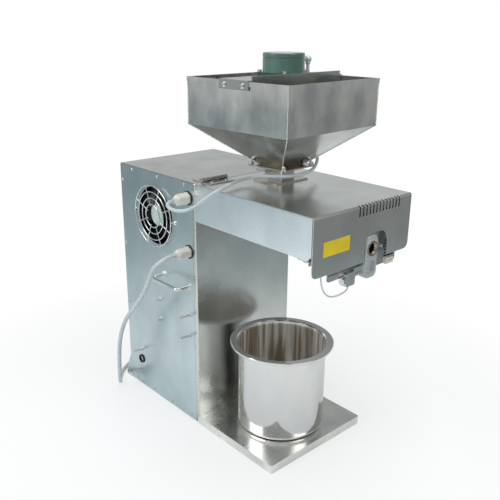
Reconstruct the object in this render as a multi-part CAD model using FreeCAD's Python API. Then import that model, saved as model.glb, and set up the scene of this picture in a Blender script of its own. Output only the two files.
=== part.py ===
import FreeCAD, Part
import math
import os

os.makedirs("parts", exist_ok=True)
V = FreeCAD.Vector

# Driving sizes in millimetres, read from the photograph with the width as the scale
width = 200.0
case_back = -180.0
case_front = 24.0
case_top = 405.0
sheet = 1.2
base_back = -196.0
base_front = 196.0
base_height = 13.5
arm_front = 253.5
arm_bottom = 348.0
cover_front = 259.0
cover_bottom = 325.0
press_y = 16.0
press_z = 342.0
hopper_x = 83.5
hopper_y = 16.5
hopper_size = 193.0
hopper_top = 554.0
hopper_shoulder = 487.0
hopper_yaw = 3.0
pot_x = 112.7
pot_y = -1.5
pot_radius = 69.5
pot_rim_radius = 81.5
pot_height = 142.0
fan_x = -82.0
fan_z = 334.0
fan_radius = 50.3
bore_radius = 16.0
barrel_wall = 9.0
barrel_radius = bore_radius + barrel_wall
lead_diameter = 5.0
mains_diameter = 7.0
sensor_diameter = 2.2

# Named clearances
gap = 0.3
running = 0.05
seam = 0.5

half = width / 2
inner = half - sheet
case_inner_top = case_top - sheet
hinge_x = case_front
hinge_radius = 3.0
hinge_z = case_top + hinge_radius + 0.2


def box(x0, x1, y0, y1, z0, z1):
    return Part.makeBox(x1 - x0, y1 - y0, z1 - z0, V(x0, y0, z0))


def cyl(radius, length, at, way):
    return Part.makeCylinder(radius, length, V(*at), V(*way))


def ring(outer, bore, length, at, way):
    return cyl(outer, length, at, way).cut(cyl(bore, length, at, way))


def join(shapes):
    first = shapes[0]
    if len(shapes) == 1:
        return first
    return first.multiFuse(shapes[1:]).removeSplitter()


def group(shapes):
    return Part.makeCompound(shapes)


def save(name, shape):
    shape.exportStep("parts/" + name + ".step")


def prism(points, way):
    corners = [V(*p) for p in points]
    wire = Part.makePolygon(corners + [corners[0]])
    return Part.Face(wire).extrude(V(*way))


def revolved(points, at, way):
    corners = [V(*p) for p in points]
    wire = Part.makePolygon(corners + [corners[0]])
    return Part.Face(wire).revolve(V(*at), V(*way), 360)


def hexagon(flats, height, at, way):
    axis = V(*way)
    axis.normalize()
    radius = flats / math.sqrt(3.0)
    corners = []
    for i in range(6):
        a = math.radians(60 * i + 30)
        corners.append(V(radius * math.cos(a), radius * math.sin(a), 0))
    face = Part.Face(Part.makePolygon(corners + [corners[0]]))
    solid = face.extrude(V(0, 0, height))
    turn = FreeCAD.Rotation(V(0, 0, 1), axis)
    solid.Placement = FreeCAD.Placement(V(*at), turn)
    return solid


def button(radius, height, at, way):
    """A pan head: a short cylinder with a broad chamfer on its outer end."""
    axis = V(*way)
    axis.normalize()
    low = cyl(radius, height * 0.55, at, way)
    top = V(*at) + axis * (height * 0.55)
    return join([low, Part.makeCone(radius, radius * 0.55, height * 0.45, top, axis)])


def edges_along(shape, axis, test):
    found = []
    for edge in shape.Edges:
        if len(edge.Vertexes) != 2:
            continue
        run = edge.Vertexes[1].Point - edge.Vertexes[0].Point
        if run.Length < 1e-6:
            continue
        if abs(abs(run.normalize().dot(V(*axis))) - 1) > 1e-6:
            continue
        if test(edge.CenterOfMass):
            found.append(edge)
    return found


def slot_x(x0, x1, y, z, wide, deep):
    """A round-ended cutter that runs along X and cuts through along Y."""
    radius = wide / 2
    body = box(x0 + radius, x1 - radius, y, y + deep, z - radius, z + radius)
    ends = [cyl(radius, deep, (x, y, z), (0, 1, 0)) for x in (x0 + radius, x1 - radius)]
    return join([body] + ends)


def slot_y(y0, y1, x, z, wide, deep):
    """A round-ended cutter that runs along Y and cuts through along X."""
    radius = wide / 2
    body = box(x, x + deep, y0 + radius, y1 - radius, z - radius, z + radius)
    ends = [cyl(radius, deep, (x, y, z), (1, 0, 0)) for y in (y0 + radius, y1 - radius)]
    return join([body] + ends)


def hopper_turned(shape):
    done = shape.copy()
    done.rotate(V(hopper_x, hopper_y, 0), V(0, 0, 1), hopper_yaw)
    return done


# Base tray

base_sheet = 1.5
strip_inset = sheet + 0.3


def make_base():
    outer = box(base_back, base_front, -half, half, 0, base_height)
    corners = edges_along(outer, (0, 0, 1), lambda c: c.x > 0)
    outer = outer.makeFillet(3.0, corners)
    side_out = half - strip_inset
    for side in (-1, 1):
        y0, y1 = sorted((side * side_out, side * (half + 1)))
        outer = outer.cut(box(case_back - seam, case_front, y0, y1, -1, base_height + 1))
    front = box(case_front + base_sheet, base_front - base_sheet, -half + base_sheet,
                half - base_sheet, -1, base_height - base_sheet)
    inset = side_out - base_sheet
    back = box(base_back + base_sheet, case_front + base_sheet, -inset, inset,
               -1, base_height - base_sheet)
    return outer.cut(front).cut(back)


save("base_plate", make_base())

# Rear corner brackets, a gusset each side behind the case

gusset_height = 34.0


def make_gusset(side):
    y_out = side * half
    y_in = side * (half - 1.5)
    low = min(y_out, y_in)
    start = base_back + 1.0
    shape = prism([(case_back, low, base_height), (start, low, base_height),
                   (case_back, low, base_height + gusset_height)], (0, 1.5, 0))
    foot_low = min(side * half, side * (half - 14))
    foot = box(start, case_back, foot_low, foot_low + 14, base_height, base_height + 1.5)
    wall_low = min(side * half, side * (half - 12))
    wall = box(case_back - 1.5, case_back, wall_low, wall_low + 12,
               base_height, base_height + gusset_height)
    return join([shape, foot, wall])


save("rear_corner_brackets", group([make_gusset(-1), make_gusset(1)]))

# Case: one folded sheet makes the front, the top and the back

return_width = 6.5
panel_front = case_front - return_width - seam
back_vents = 6
back_vent_low = 90.0
back_vent_pitch = 12.0
back_vent_half = 30.0


def make_case():
    outer = box(case_back, case_front, -half, half, base_height, case_top)
    upright = edges_along(outer, (0, 0, 1), lambda c: c.x > 0)
    outer = outer.makeFillet(2.4, upright)
    bends = edges_along(outer, (0, 1, 0), lambda c: c.z > case_top - 1)
    outer = outer.makeFillet(2.0, bends)
    hollow = box(case_back + sheet, case_front - sheet, -inner, inner,
                 base_height - 1, case_inner_top)
    shell = outer.cut(hollow)
    for side in (-1, 1):
        low = min(side * inner, side * (half + 1))
        deep = half + 1 - inner
        shell = shell.cut(box(case_back - 1, case_front - return_width, low, low + deep,
                              base_height - 1, case_inner_top))
    hole = cyl(34.0, 10, (case_front - 5, press_y, press_z), (1, 0, 0))
    shell = shell.cut(hole)
    for row in range(back_vents):
        z = back_vent_low + row * back_vent_pitch
        shell = shell.cut(slot_y(-back_vent_half, back_vent_half, case_back - 2, z, 4.0, 6))
    return shell


save("case_shell", make_case())

# Side panels

gland_x = 6.5
upper_gland_z = 380.5
lower_gland_z = 296.0
gland_bore = 7.0
handle_xs = (-62.3, 6.4)
handle_z = 239.0
stud_xs = (-78.0, 3.4)
stud_zs = (189.5, 154.0)
corner_stud_x = -142.0
corner_stud_zs = (73.0, 33.0)
fan_opening = 47.0
panel_bottom = 1.5
panel_top = case_inner_top - gap
side_vents = 9
side_vent_low = 240.0
side_vent_pitch = 14.0
side_vent_length = 40.0
side_vent_xs = (-130.0, -78.0)


def panel_sheet(side):
    low = min(side * half, side * inner)
    plate = box(case_back, panel_front, low, low + sheet, panel_bottom, panel_top)
    lip_low = min(side * inner, side * (inner - 9))
    lip = box(case_back + sheet + gap, case_back + 2 * sheet + gap, lip_low, lip_low + 9,
              base_height + gap, panel_top - 8)
    return join([plate, lip])


def make_fan_panel():
    plate = panel_sheet(-1)
    cuts = [cyl(fan_opening, 4, (fan_x, -half - 1, fan_z), (0, 1, 0))]
    cuts.append(cyl(gland_bore, 4, (gland_x, -half - 1, upper_gland_z), (0, 1, 0)))
    cuts.append(cyl(gland_bore, 4, (gland_x, -half - 1, lower_gland_z), (0, 1, 0)))
    for x in handle_xs:
        cuts.append(cyl(2.0, 4, (x, -half - 1, handle_z), (0, 1, 0)))
    for x in stud_xs:
        for z in stud_zs:
            cuts.append(cyl(2.0, 4, (x, -half - 1, z), (0, 1, 0)))
    return plate.cut(group(cuts))


def make_far_panel():
    plate = panel_sheet(1)
    cuts = []
    for x in side_vent_xs:
        for row in range(side_vents):
            z = side_vent_low + row * side_vent_pitch
            cuts.append(slot_x(x, x + side_vent_length, inner - 1, z, 5.0, 4))
    return plate.cut(group(cuts))


save("fan_side_panel", make_fan_panel())
save("far_side_panel", make_far_panel())

# Panel screws

screw_xs_top = (-145.5, -73.3, -3.0)
screw_xs_bottom = (-159.0, -104.0, -49.5, 4.0)
screw_zs_back = (377.0, 265.6, 154.0)
screw_radius = 2.6
screw_height = 1.8
screw_top_z = case_top - 6.5
screw_low_z = 8.0


def make_panel_screws():
    heads = []
    for side in (-1, 1):
        for x in screw_xs_top:
            heads.append(button(screw_radius, screw_height, (x, side * half, screw_top_z), (0, side, 0)))
        for x in screw_xs_bottom:
            heads.append(button(screw_radius, screw_height, (x, side * half, screw_low_z), (0, side, 0)))
        for z in screw_zs_back:
            heads.append(button(screw_radius, screw_height, (case_back + 5, side * half, z), (0, side, 0)))
    return group(heads)


save("panel_screws", make_panel_screws())

# Cooling fan, its frame, impeller and wire guard

frame_depth = 25.0
frame_face = -inner
frame_outer = 52.0
frame_bore = 48.8
spindle_radius = 3.0
ear_reach = 55.0


def make_fan_frame():
    tube = ring(frame_outer, frame_bore, frame_depth, (fan_x, frame_face, fan_z), (0, 1, 0))
    parts = [tube]
    for side in (-1, 1):
        ear = box(fan_x - 6, fan_x + 6, frame_face, frame_face + 4, fan_z - 6, fan_z + 6)
        ear.translate(V(side * ear_reach, 0, 0))
        parts.append(ear)
    back = frame_face + frame_depth - 3
    parts.append(cyl(17.0, 3, (fan_x, back, fan_z), (0, 1, 0)))
    for i in range(4):
        strut = box(fan_x + 15, fan_x + frame_bore + 1, back, back + 3, fan_z - 2.5, fan_z + 2.5)
        strut.rotate(V(fan_x, 0, fan_z), V(0, 1, 0), 45 + 90 * i)
        parts.append(strut)
    parts.append(cyl(spindle_radius, 12, (fan_x, back - 12, fan_z), (0, 1, 0)))
    return join(parts)


save("fan_frame", make_fan_frame())

hub_radius = 18.0
blade_count = 7
impeller_front = frame_face + 3
impeller_depth = 17.0


def make_impeller():
    hub = cyl(hub_radius, impeller_depth, (fan_x, impeller_front, fan_z), (0, 1, 0))
    pocket = cyl(spindle_radius + running, 11, (fan_x, impeller_front + impeller_depth - 11, fan_z), (0, 1, 0))
    parts = [hub.cut(pocket)]
    tip = frame_bore - 1.6
    for i in range(blade_count):
        wires = []
        for radius, pitch in ((hub_radius - 2, 52.0), (tip, 26.0)):
            a = math.radians(pitch)
            chord = 9.0 if radius < tip else 13.0
            dx = chord * math.cos(a)
            dy = min(chord * math.sin(a), impeller_depth / 2 - 1)
            mid = impeller_front + impeller_depth / 2
            corners = [V(-dx - 0.8, mid - dy, radius), V(-dx + 0.8, mid - dy, radius),
                       V(dx + 0.8, mid + dy, radius), V(dx - 0.8, mid + dy, radius)]
            wires.append(Part.makePolygon(corners + [corners[0]]))
        blade = Part.makeLoft(wires, True, True)
        blade.rotate(V(0, 0, 0), V(0, 1, 0), 360.0 / blade_count * i)
        blade.translate(V(fan_x, 0, fan_z))
        parts.append(blade)
    return join(parts)


save("fan_impeller", make_impeller())

wire_radius = 0.9
guard_y = -half - 5.0


ring_count = 4
ring_pitch = 10.2
spoke_count = 8
tab_thick = 1.2


def make_guard():
    parts = []
    for i in range(ring_count):
        radius = fan_radius - wire_radius - i * ring_pitch
        parts.append(Part.makeTorus(radius, wire_radius, V(fan_x, guard_y, fan_z), V(0, 1, 0)))
    spoke_y = guard_y + 1.4 * wire_radius
    spoke_in = fan_radius - ring_count * ring_pitch + 7.2
    for i in range(spoke_count):
        spoke = cyl(wire_radius, fan_radius - wire_radius - spoke_in, (fan_x + spoke_in, spoke_y, fan_z),
                    (1, 0, 0))
        spoke.rotate(V(fan_x, 0, fan_z), V(0, 1, 0), 360.0 / spoke_count * (i + 0.5))
        parts.append(spoke)
    for side in (-1, 1):
        x = fan_x + side * ear_reach
        leg_x = fan_x + side * (fan_radius + 0.4)
        tab = cyl(3.6, tab_thick, (x, -half - tab_thick, fan_z), (0, 1, 0))
        leg = box(leg_x - wire_radius, leg_x + wire_radius, guard_y - 0.5, -half, fan_z - 1.5, fan_z + 1.5)
        foot_x, foot_end = sorted((leg_x, x))
        foot = box(foot_x, foot_end, -half - tab_thick, -half, fan_z - 1.5, fan_z + 1.5)
        hole = cyl(1.6, tab_thick, (x, -half - tab_thick, fan_z), (0, 1, 0))
        parts.append(join([tab, leg, foot]).cut(hole))
    return join(parts)


fan_guard = [make_guard()]
for side in (-1, 1):
    fan_guard.append(button(2.8, 2.0, (fan_x + side * ear_reach, -half - 1.2, fan_z), (0, -1, 0)))
save("fan_guard", group(fan_guard))

# Side handle, a bent rod with a nut at each post

handle_reach = 24.0
handle_rod = 3.0


def swept(points, radius, start_way):
    """A round rod or cord along straight runs that are joined by tangent arcs."""
    pts = [V(*p) for p in points]
    edges = []
    radii = []
    last = pts[0]
    for i in range(1, len(pts) - 1):
        here = pts[i]
        before = here - pts[i - 1]
        after = pts[i + 1] - here
        shorter = min(before.Length, after.Length)
        u = V(before).normalize()
        w = V(after).normalize()
        turn = math.acos(max(-1.0, min(1.0, u.dot(w))))
        if turn < 1e-4:
            continue
        trim = 0.45 * shorter
        bend = trim / math.tan(turn / 2)
        radii.append(bend)
        p_in = here - u * trim
        p_out = here + w * trim
        inward = (w - u).normalize()
        centre = here + inward * (bend / math.cos(turn / 2))
        middle = centre - inward * bend
        edges.append(Part.LineSegment(last, p_in).toShape())
        edges.append(Part.Arc(p_in, middle, p_out).toShape())
        last = p_out
    edges.append(Part.LineSegment(last, pts[-1]).toShape())
    path = Part.Wire(edges)
    profile = Part.Wire([Part.makeCircle(radius, pts[0], V(*start_way))])
    solid = path.makePipeShell([profile], True, False)
    return solid, path.Length, radii


def make_handle():
    y0 = -half - handle_reach
    points = [(handle_xs[0], -half, handle_z), (handle_xs[0], y0, handle_z),
              (handle_xs[1], y0, handle_z), (handle_xs[1], -half, handle_z)]
    edges = []
    bend = 7.0
    a, b, c, d = [V(*p) for p in points]
    k = bend * (1 - math.sqrt(0.5))
    edges.append(Part.LineSegment(a, b + V(0, bend, 0)).toShape())
    edges.append(Part.Arc(b + V(0, bend, 0), b + V(k, k, 0), b + V(bend, 0, 0)).toShape())
    edges.append(Part.LineSegment(b + V(bend, 0, 0), c - V(bend, 0, 0)).toShape())
    edges.append(Part.Arc(c - V(bend, 0, 0), c + V(-k, k, 0), c + V(0, bend, 0)).toShape())
    edges.append(Part.LineSegment(c + V(0, bend, 0), d).toShape())
    profile = Part.Wire([Part.makeCircle(handle_rod, a, V(0, -1, 0))])
    return Part.Wire(edges).makePipeShell([profile], True, False)


handle = [make_handle()]
for x in handle_xs:
    nut = hexagon(10.0, 3.5, (x, -half, handle_z), (0, -1, 0))
    handle.append(nut.cut(cyl(handle_rod, 3.5, (x, -half, handle_z), (0, -1, 0))))
save("side_handle", group(handle))

# Panel studs that hold the control box, and two at the rear corner

stud_radius = 2.0
long_stud = 19.0
short_stud = 7.0


def make_studs():
    parts = []
    for x in stud_xs:
        reach = long_stud if x > 0 else short_stud
        for z in stud_zs:
            rod = cyl(stud_radius, reach + sheet, (x, -inner, z), (0, -1, 0))
            nut = hexagon(7.0, 3.2, (x, -half, z), (0, -1, 0))
            parts.append(join([rod, nut]))
    for z in corner_stud_zs:
        rod = cyl(stud_radius, long_stud, (corner_stud_x, -half, z), (0, -1, 0))
        nut = hexagon(7.0, 3.2, (corner_stud_x, -half, z), (0, -1, 0))
        parts.append(join([rod, nut]))
    return group(parts)


save("mount_studs", make_studs())

# Control box behind the studs

box_back = -100.0
box_front = 18.0
box_depth = 42.0
box_low = stud_zs[1] - 14.0
box_high = stud_zs[0] + 14.5
groove_count = 12
groove_pitch = 9.4
groove_width = 5.2
groove_depth = 12.0


def make_control_box():
    back = -inner + box_depth
    body = box(box_back, box_front, -inner, back, box_low, box_high)
    grooves = []
    for i in range(groove_count):
        x = box_back + 5 + i * groove_pitch
        grooves.append(box(x, x + groove_width, back - groove_depth, back + 1, box_low + 6, box_high - 6))
    return body.cut(group(grooves))


save("control_box", make_control_box())

# Cable glands

gland_end = -half - 25.0


def make_gland(z, cord_diameter):
    y = -half
    hexed = hexagon(17.0, 6.0, (gland_x, y, z), (0, -1, 0))
    neck = cyl(7.6, 3.0, (gland_x, y - 6, z), (0, -1, 0))
    dome = hexagon(15.5, 11.0, (gland_x, y - 9, z), (0, -1, 0))
    nose = Part.makeCone(7.4, cord_diameter / 2 + 2.2, 5.0, V(gland_x, y - 20, z), V(0, -1, 0))
    thread = cyl(gland_bore, sheet + 4, (gland_x, -inner + 4, z), (0, -1, 0))
    lock = hexagon(18.0, 3.0, (gland_x, -inner + 3, z), (0, -1, 0))
    return join([hexed, neck, dome, nose, thread, lock])


save("mains_gland", make_gland(lower_gland_z, mains_diameter))
save("lead_gland", make_gland(upper_gland_z, lead_diameter))

# Gear drive inside the case

gear_half = 44.0
gear_back = -44.0
gear_front = case_front - sheet
shaft_radius = 9.0


def make_gearbox():
    body = box(gear_back, gear_front, press_y - gear_half, press_y + gear_half,
               press_z - gear_half, press_z + gear_half)
    body = body.makeFillet(5.0, edges_along(body, (1, 0, 0), lambda c: True))
    ribs = []
    for i in range(4):
        x = gear_back + 9 + i * 13.0
        ribs.append(box(x, x + 5, press_y - gear_half + 4, press_y + gear_half - 4,
                        press_z - gear_half - 3, press_z - gear_half + 1))
    bore = cyl(shaft_radius + running, 36, (gear_front - 33.5, press_y, press_z), (1, 0, 0))
    spigot = cyl(33.7, 1.2, (gear_front, press_y, press_z), (1, 0, 0))
    return join([body, spigot] + ribs).cut(bore)


save("gearbox", make_gearbox())

motor_radius = 42.0
motor_back = -140.0
rotor_radius = 5.0


def make_motor():
    body = cyl(motor_radius, gear_back - motor_back, (motor_back, press_y, press_z), (1, 0, 0))
    grooves = []
    for i in range(6):
        x = motor_back + 14 + i * 12.0
        grooves.append(ring(motor_radius + 1, motor_radius - 3, 6, (x, press_y, press_z), (1, 0, 0)))
    bore = cyl(rotor_radius + running, 21, (motor_back, press_y, press_z), (1, 0, 0))
    return body.cut(group(grooves)).cut(bore)


save("drive_motor", make_motor())


def make_rotor():
    shaft = cyl(rotor_radius, 34, (motor_back - 14, press_y, press_z), (1, 0, 0))
    disc = cyl(30.0, 2, (motor_back - 6, press_y, press_z), (1, 0, 0))
    parts = [shaft, disc]
    for i in range(8):
        vane = box(motor_back - 14, motor_back - 6, press_y - 1, press_y + 1, press_z + 4, press_z + 29)
        vane.rotate(V(0, press_y, press_z), V(1, 0, 0), 45 * i)
        parts.append(vane)
    return join(parts)


save("motor_rotor", make_rotor())

# Press: feed block, drained cage, band heater, nozzle and ring nut

flange_end = case_front + 8
flange_radius = 40.0
block_end = 113.0
block_half = 29.0
cage_end = 224.0
throat_bore = 14.0
throat_top = case_inner_top - 6.0


def make_feed_block():
    flange = cyl(flange_radius, flange_end - case_front, (case_front, press_y, press_z), (1, 0, 0))
    body = box(flange_end, block_end, press_y - block_half, press_y + block_half,
               press_z - block_half, press_z + block_half)
    body = body.makeFillet(6.0, edges_along(body, (1, 0, 0), lambda c: True))
    cup = cyl(22.0, throat_top - press_z, (hopper_x, hopper_y, press_z), (0, 0, 1))
    solid = join([flange, body, cup])
    solid = solid.cut(cyl(bore_radius, 200, (flange_end, press_y, press_z), (1, 0, 0)))
    solid = solid.cut(cyl(shaft_radius + running, 20, (case_front - 1, press_y, press_z), (1, 0, 0)))
    solid = solid.cut(cyl(throat_bore, 100, (hopper_x, hopper_y, press_z), (0, 0, 1)))
    flare = Part.makeCone(throat_bore, 19.0, 18, V(hopper_x, hopper_y, throat_top - 18), V(0, 0, 1))
    return solid.cut(flare)


save("feed_block", make_feed_block())

block_bolts = []
block_bolt_ring = (block_half + flange_radius) / 2
block_bolt_head = 4.0
for i in range(4):
    a = math.radians(90 * i)
    y = press_y + block_bolt_ring * math.cos(a)
    z = press_z + block_bolt_ring * math.sin(a)
    block_bolts.append(hexagon(7.0, block_bolt_head, (flange_end, y, z), (1, 0, 0)))
save("feed_block_bolts", group(block_bolts))


collar_wall = 3.0


def make_cage():
    tube = ring(barrel_radius, bore_radius, cage_end - block_end, (block_end, press_y, press_z), (1, 0, 0))
    collar = ring(barrel_radius + collar_wall, barrel_radius - 1, 8, (block_end, press_y, press_z), (1, 0, 0))
    tube = join([tube, collar])
    slits = []
    for group_x in (126.0, 150.0):
        for i in range(9):
            slit = box(group_x, group_x + 18, press_y - 0.6, press_y + 0.6,
                       press_z - barrel_radius - collar_wall - 1, press_z - bore_radius + 2)
            slit.rotate(V(0, press_y, press_z), V(1, 0, 0), -80 + 20 * i)
            slits.append(slit)
    return tube.cut(group(slits))


save("press_cage", make_cage())

heater_start = 178.0
heater_wall = 3.0


def make_heater():
    band = ring(barrel_radius + heater_wall, barrel_radius, 26, (heater_start, press_y, press_z), (1, 0, 0))
    slit = box(heater_start - 1, heater_start + 27, press_y - 1.5, press_y + 1.5,
               press_z + barrel_radius - 1, press_z + barrel_radius + heater_wall + 1)
    band = band.cut(slit)
    parts = [band]
    for side in (-1, 1):
        low = min(side * 1.5, side * 3.5)
        parts.append(box(heater_start + 3, heater_start + 23, press_y + low, press_y + low + 2,
                         press_z + barrel_radius + 2, press_z + barrel_radius + 11))
    parts.append(cyl(2.0, 12, (heater_start + 13, press_y - 6, press_z + barrel_radius + 7), (0, 1, 0)))
    return join(parts)


save("heater_band", make_heater())

nut_start = 208.0
nozzle_flange = 7.0
flange_step = 3.0
nozzle_radius = 10.5
nozzle_bore = 6.5
nozzle_end = cover_front + 3.5
mouth_length = 9.0
lip_chamfer = 3.0
nut_wall = 8.0
nut_radius = barrel_radius + nut_wall


def make_nozzle():
    flange = cyl(barrel_radius - flange_step, nozzle_flange, (cage_end, press_y, press_z), (1, 0, 0))
    tube = cyl(nozzle_radius, nozzle_end - cage_end, (cage_end, press_y, press_z), (1, 0, 0))
    mouth = Part.makeCone(bore_radius - 1, nozzle_bore, mouth_length, V(cage_end, press_y, press_z),
                          V(1, 0, 0))
    bore = cyl(nozzle_bore, nozzle_end, (cage_end + mouth_length - 1, press_y, press_z), (1, 0, 0))
    edge = Part.makeCone(nozzle_bore, nozzle_bore + 2, lip_chamfer,
                         V(nozzle_end - lip_chamfer, press_y, press_z), V(1, 0, 0))
    return join([flange, tube]).cut(mouth).cut(bore).cut(edge)


save("cake_nozzle", make_nozzle())


def make_ring_nut():
    length = cage_end + nozzle_flange + gap + 6 - nut_start
    body = cyl(nut_radius, length, (nut_start, press_y, press_z), (1, 0, 0))
    body = body.cut(cyl(barrel_radius + running, cage_end + nozzle_flange + gap - nut_start,
                        (nut_start, press_y, press_z), (1, 0, 0)))
    body = body.cut(cyl(nozzle_radius + 4, length + 2, (nut_start - 1, press_y, press_z), (1, 0, 0)))
    for i in range(8):
        notch = box(nut_start + 12, nut_start + length + 1, press_y - 3, press_y + 3,
                    press_z + nut_radius - 5, press_z + nut_radius + 2)
        notch.rotate(V(0, press_y, press_z), V(1, 0, 0), 45 * i + 22.5)
        body = body.cut(notch)
    return body


save("slotted_ring_nut", make_ring_nut())

# Press screw: a tapered core and a helical flight, made upright and then laid along X

flight_pitch = 22.0
flight_turns = 7.5
flight_start = flange_end + 8
flight_radius = bore_radius - gap
core_small = 7.0
core_large = 12.5
screw_end = cage_end - 1.0


def make_press_screw():
    length = flight_pitch * flight_turns
    helix = Part.makeHelix(flight_pitch, length, core_small)
    root = core_small - 2
    corners = [V(root, 0, -4.2), V(flight_radius + 1, 0, -1.6), V(flight_radius + 1, 0, 1.6), V(root, 0, 4.2)]
    profile = Part.makePolygon(corners + [corners[0]])
    flight = Part.Wire(helix.Edges).makePipeShell([profile], True, True)
    sleeve = ring(60, flight_radius, length + 60, (0, 0, -30), (0, 0, 1))
    flight = flight.cut(sleeve)
    span = screw_end - flight_start
    core = Part.makeCone(core_small, core_large, span, V(0, 0, 0), V(0, 0, 1))
    slab_low = Part.makeBox(100, 100, 60, V(-50, -50, -60))
    slab_high = Part.makeBox(100, 100, 60, V(-50, -50, span))
    flight = flight.cut(slab_low).cut(slab_high)
    shaft_back = flight_start - (gear_front - 32)
    shaft = cyl(shaft_radius, shaft_back - 4, (0, 0, -shaft_back), (0, 0, 1))
    neck = Part.makeCone(shaft_radius, core_small, 4, V(0, 0, -4), V(0, 0, 1))
    screw = join([core, shaft, neck]).fuse(flight).removeSplitter()
    screw.rotate(V(0, 0, 0), V(0, 1, 0), 90)
    screw.translate(V(flight_start, press_y, press_z))
    return screw


save("press_screw", make_press_screw())

# Arm: two folded side sheets and the slotted front plate that carries the nozzle

arm_top = case_inner_top - gap


def make_arm_side(side):
    low = min(side * half, side * inner)
    plate = box(case_front, arm_front, low, low + sheet, arm_bottom, arm_top)
    corner = edges_along(plate, (0, 1, 0), lambda c: c.z < arm_bottom + 1)
    plate = plate.makeFillet(5.0, corner)
    hem_low = min(side * inner, side * (inner - 11))
    hem = box(case_front + 6, arm_front - 6, hem_low, hem_low + 11, arm_bottom, arm_bottom + sheet)
    back = box(case_front, case_front + sheet, hem_low, hem_low + 11, arm_bottom + 6, arm_top - 6)
    return join([plate, hem, back])


save("arm_side_near", make_arm_side(-1))
save("arm_side_far", make_arm_side(1))

front_plate_x = 248.5
front_plate_end = front_plate_x + 1.5
front_plate_bottom = 308.5


def make_front_plate():
    plate = box(front_plate_x, front_plate_end, -inner, inner, arm_bottom + 4, arm_top - 4)
    drop = box(front_plate_x, front_plate_end, -60, 84, front_plate_bottom, arm_bottom + 5)
    corners = edges_along(drop, (1, 0, 0), lambda c: c.z < front_plate_bottom + 1)
    drop = drop.makeFillet(4.0, corners)
    parts = [plate, drop]
    for side in (-1, 1):
        low = min(side * inner, side * (inner - sheet))
        parts.append(box(front_plate_x - 10, front_plate_x + 1, low, low + sheet,
                         arm_bottom + 6, arm_top - 6))
    plate = join(parts)
    cuts = [cyl(nozzle_radius + 1.5, 6, (front_plate_x - 2, press_y, press_z), (1, 0, 0))]
    for i in range(6):
        cuts.append(slot_y(57.5, 80, front_plate_x - 1, 318.5 + 4.6 * i, 2.4, 4))
    return plate.cut(group(cuts))


save("arm_front_plate", make_front_plate())


def make_front_casting():
    y0 = press_y - 12.5
    y1 = press_y + 13.0
    z0 = 300.0
    z1 = 361.0
    x0 = front_plate_end
    x1 = cover_front + 1.0
    body = box(x0, x1, y0, y1, z0, z1)
    body = body.makeFillet(12.0, edges_along(body, (1, 0, 0), lambda c: c.z > z1 - 1))
    body = body.makeFillet(8.0, edges_along(body, (1, 0, 0), lambda c: c.z < z0 + 1))
    boss = ring(nozzle_radius + 2.2, nozzle_radius, 1.5, (x1, press_y, press_z), (1, 0, 0))
    scoop = box(x0 + 4, x1 + 1, y0 + 3.5, y1 - 3.5, 305, 324)
    scoop = scoop.makeFillet(4.0, edges_along(scoop, (1, 0, 0), lambda c: True))
    body = body.cut(scoop).cut(cyl(nozzle_radius, 30, (x0 - 1, press_y, press_z), (1, 0, 0)))
    return join([body, boss])


save("front_casting", make_front_casting())

casting_bolts = [hexagon(6.0, 3.0, (front_plate_end, 53.0, 336.0), (1, 0, 0))]
casting_bolts.append(hexagon(6.0, 3.0, (front_plate_end, -12.0, 336.0), (1, 0, 0)))
save("front_plate_bolts", group(casting_bolts))

# Sensor clamp below the nozzle

bar_z = 316.0
sensor_x = front_plate_end + 4
sensor_end_x = front_plate_end + 3.2


def make_sensor_bar():
    left = press_y - 12.5
    bar = box(front_plate_end, front_plate_end + 6, -13, left, bar_z - 3.5, bar_z + 3.5)
    rod = cyl(2.8, left + 13, (front_plate_end + 3, -13, bar_z - 7.5), (0, 1, 0))
    web = box(front_plate_end, front_plate_end + 2.5, -13, left, bar_z - 8.5, bar_z - 3)
    strap = box(front_plate_end, front_plate_end + 1.6, -58, -31, 311, 317)
    return group([join([bar, rod, web]), strap])


save("sensor_bar", make_sensor_bar())


def make_sensor_block():
    body = box(front_plate_end, front_plate_end + 8, -31, -13, 297, bar_z)
    body = body.makeFillet(2.5, edges_along(body, (1, 0, 0), lambda c: True))
    nut = hexagon(9.0, 5.0, (front_plate_end + 4, -31, 305), (0, -1, 0))
    return join([body, nut])


save("sensor_block", make_sensor_block())


def make_cover_switch():
    body = box(front_plate_end, front_plate_end + 6, 57, 73, front_plate_bottom, front_plate_bottom + 8.5)
    slot = box(front_plate_end + 4, front_plate_end + 7, 59, 70, front_plate_bottom + 3.4,
               front_plate_bottom + 5.8)
    return body.cut(slot)


save("cover_switch", make_cover_switch())


def make_lead_socket():
    base = box(front_plate_end, front_plate_end + 4, -83, -71, arm_bottom + 2, arm_bottom + 14)
    nose = cyl(2.6, 4, (sensor_end_x, -77, arm_bottom - 1), (0, 0, 1))
    return join([base, nose])


save("sensor_socket", make_lead_socket())


def make_lip_clip():
    strip = box(arm_front - 20, arm_front, -half, -half + 12, arm_bottom - 1.5, arm_bottom)
    lip = box(arm_front - 1.5, arm_front, -half, -half + 12, arm_bottom - 6, arm_bottom)
    bolt = hexagon(6.0, 3.0, (arm_front - 10, -half + 6, arm_bottom - 1.5), (0, 0, -1))
    return join([strip, lip, bolt])


save("front_lip_clip", make_lip_clip())

# Oil tray below the cage with a spout over the pot

tray_top = 313.0
tray_depth = 7.0
tray_half = 30.0
tray_back = flange_end + block_bolt_head + 2.0
tray_front = 172.0
spout_length = 7.0
spout_radius = 9.0
spout_y = press_y - 6


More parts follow.
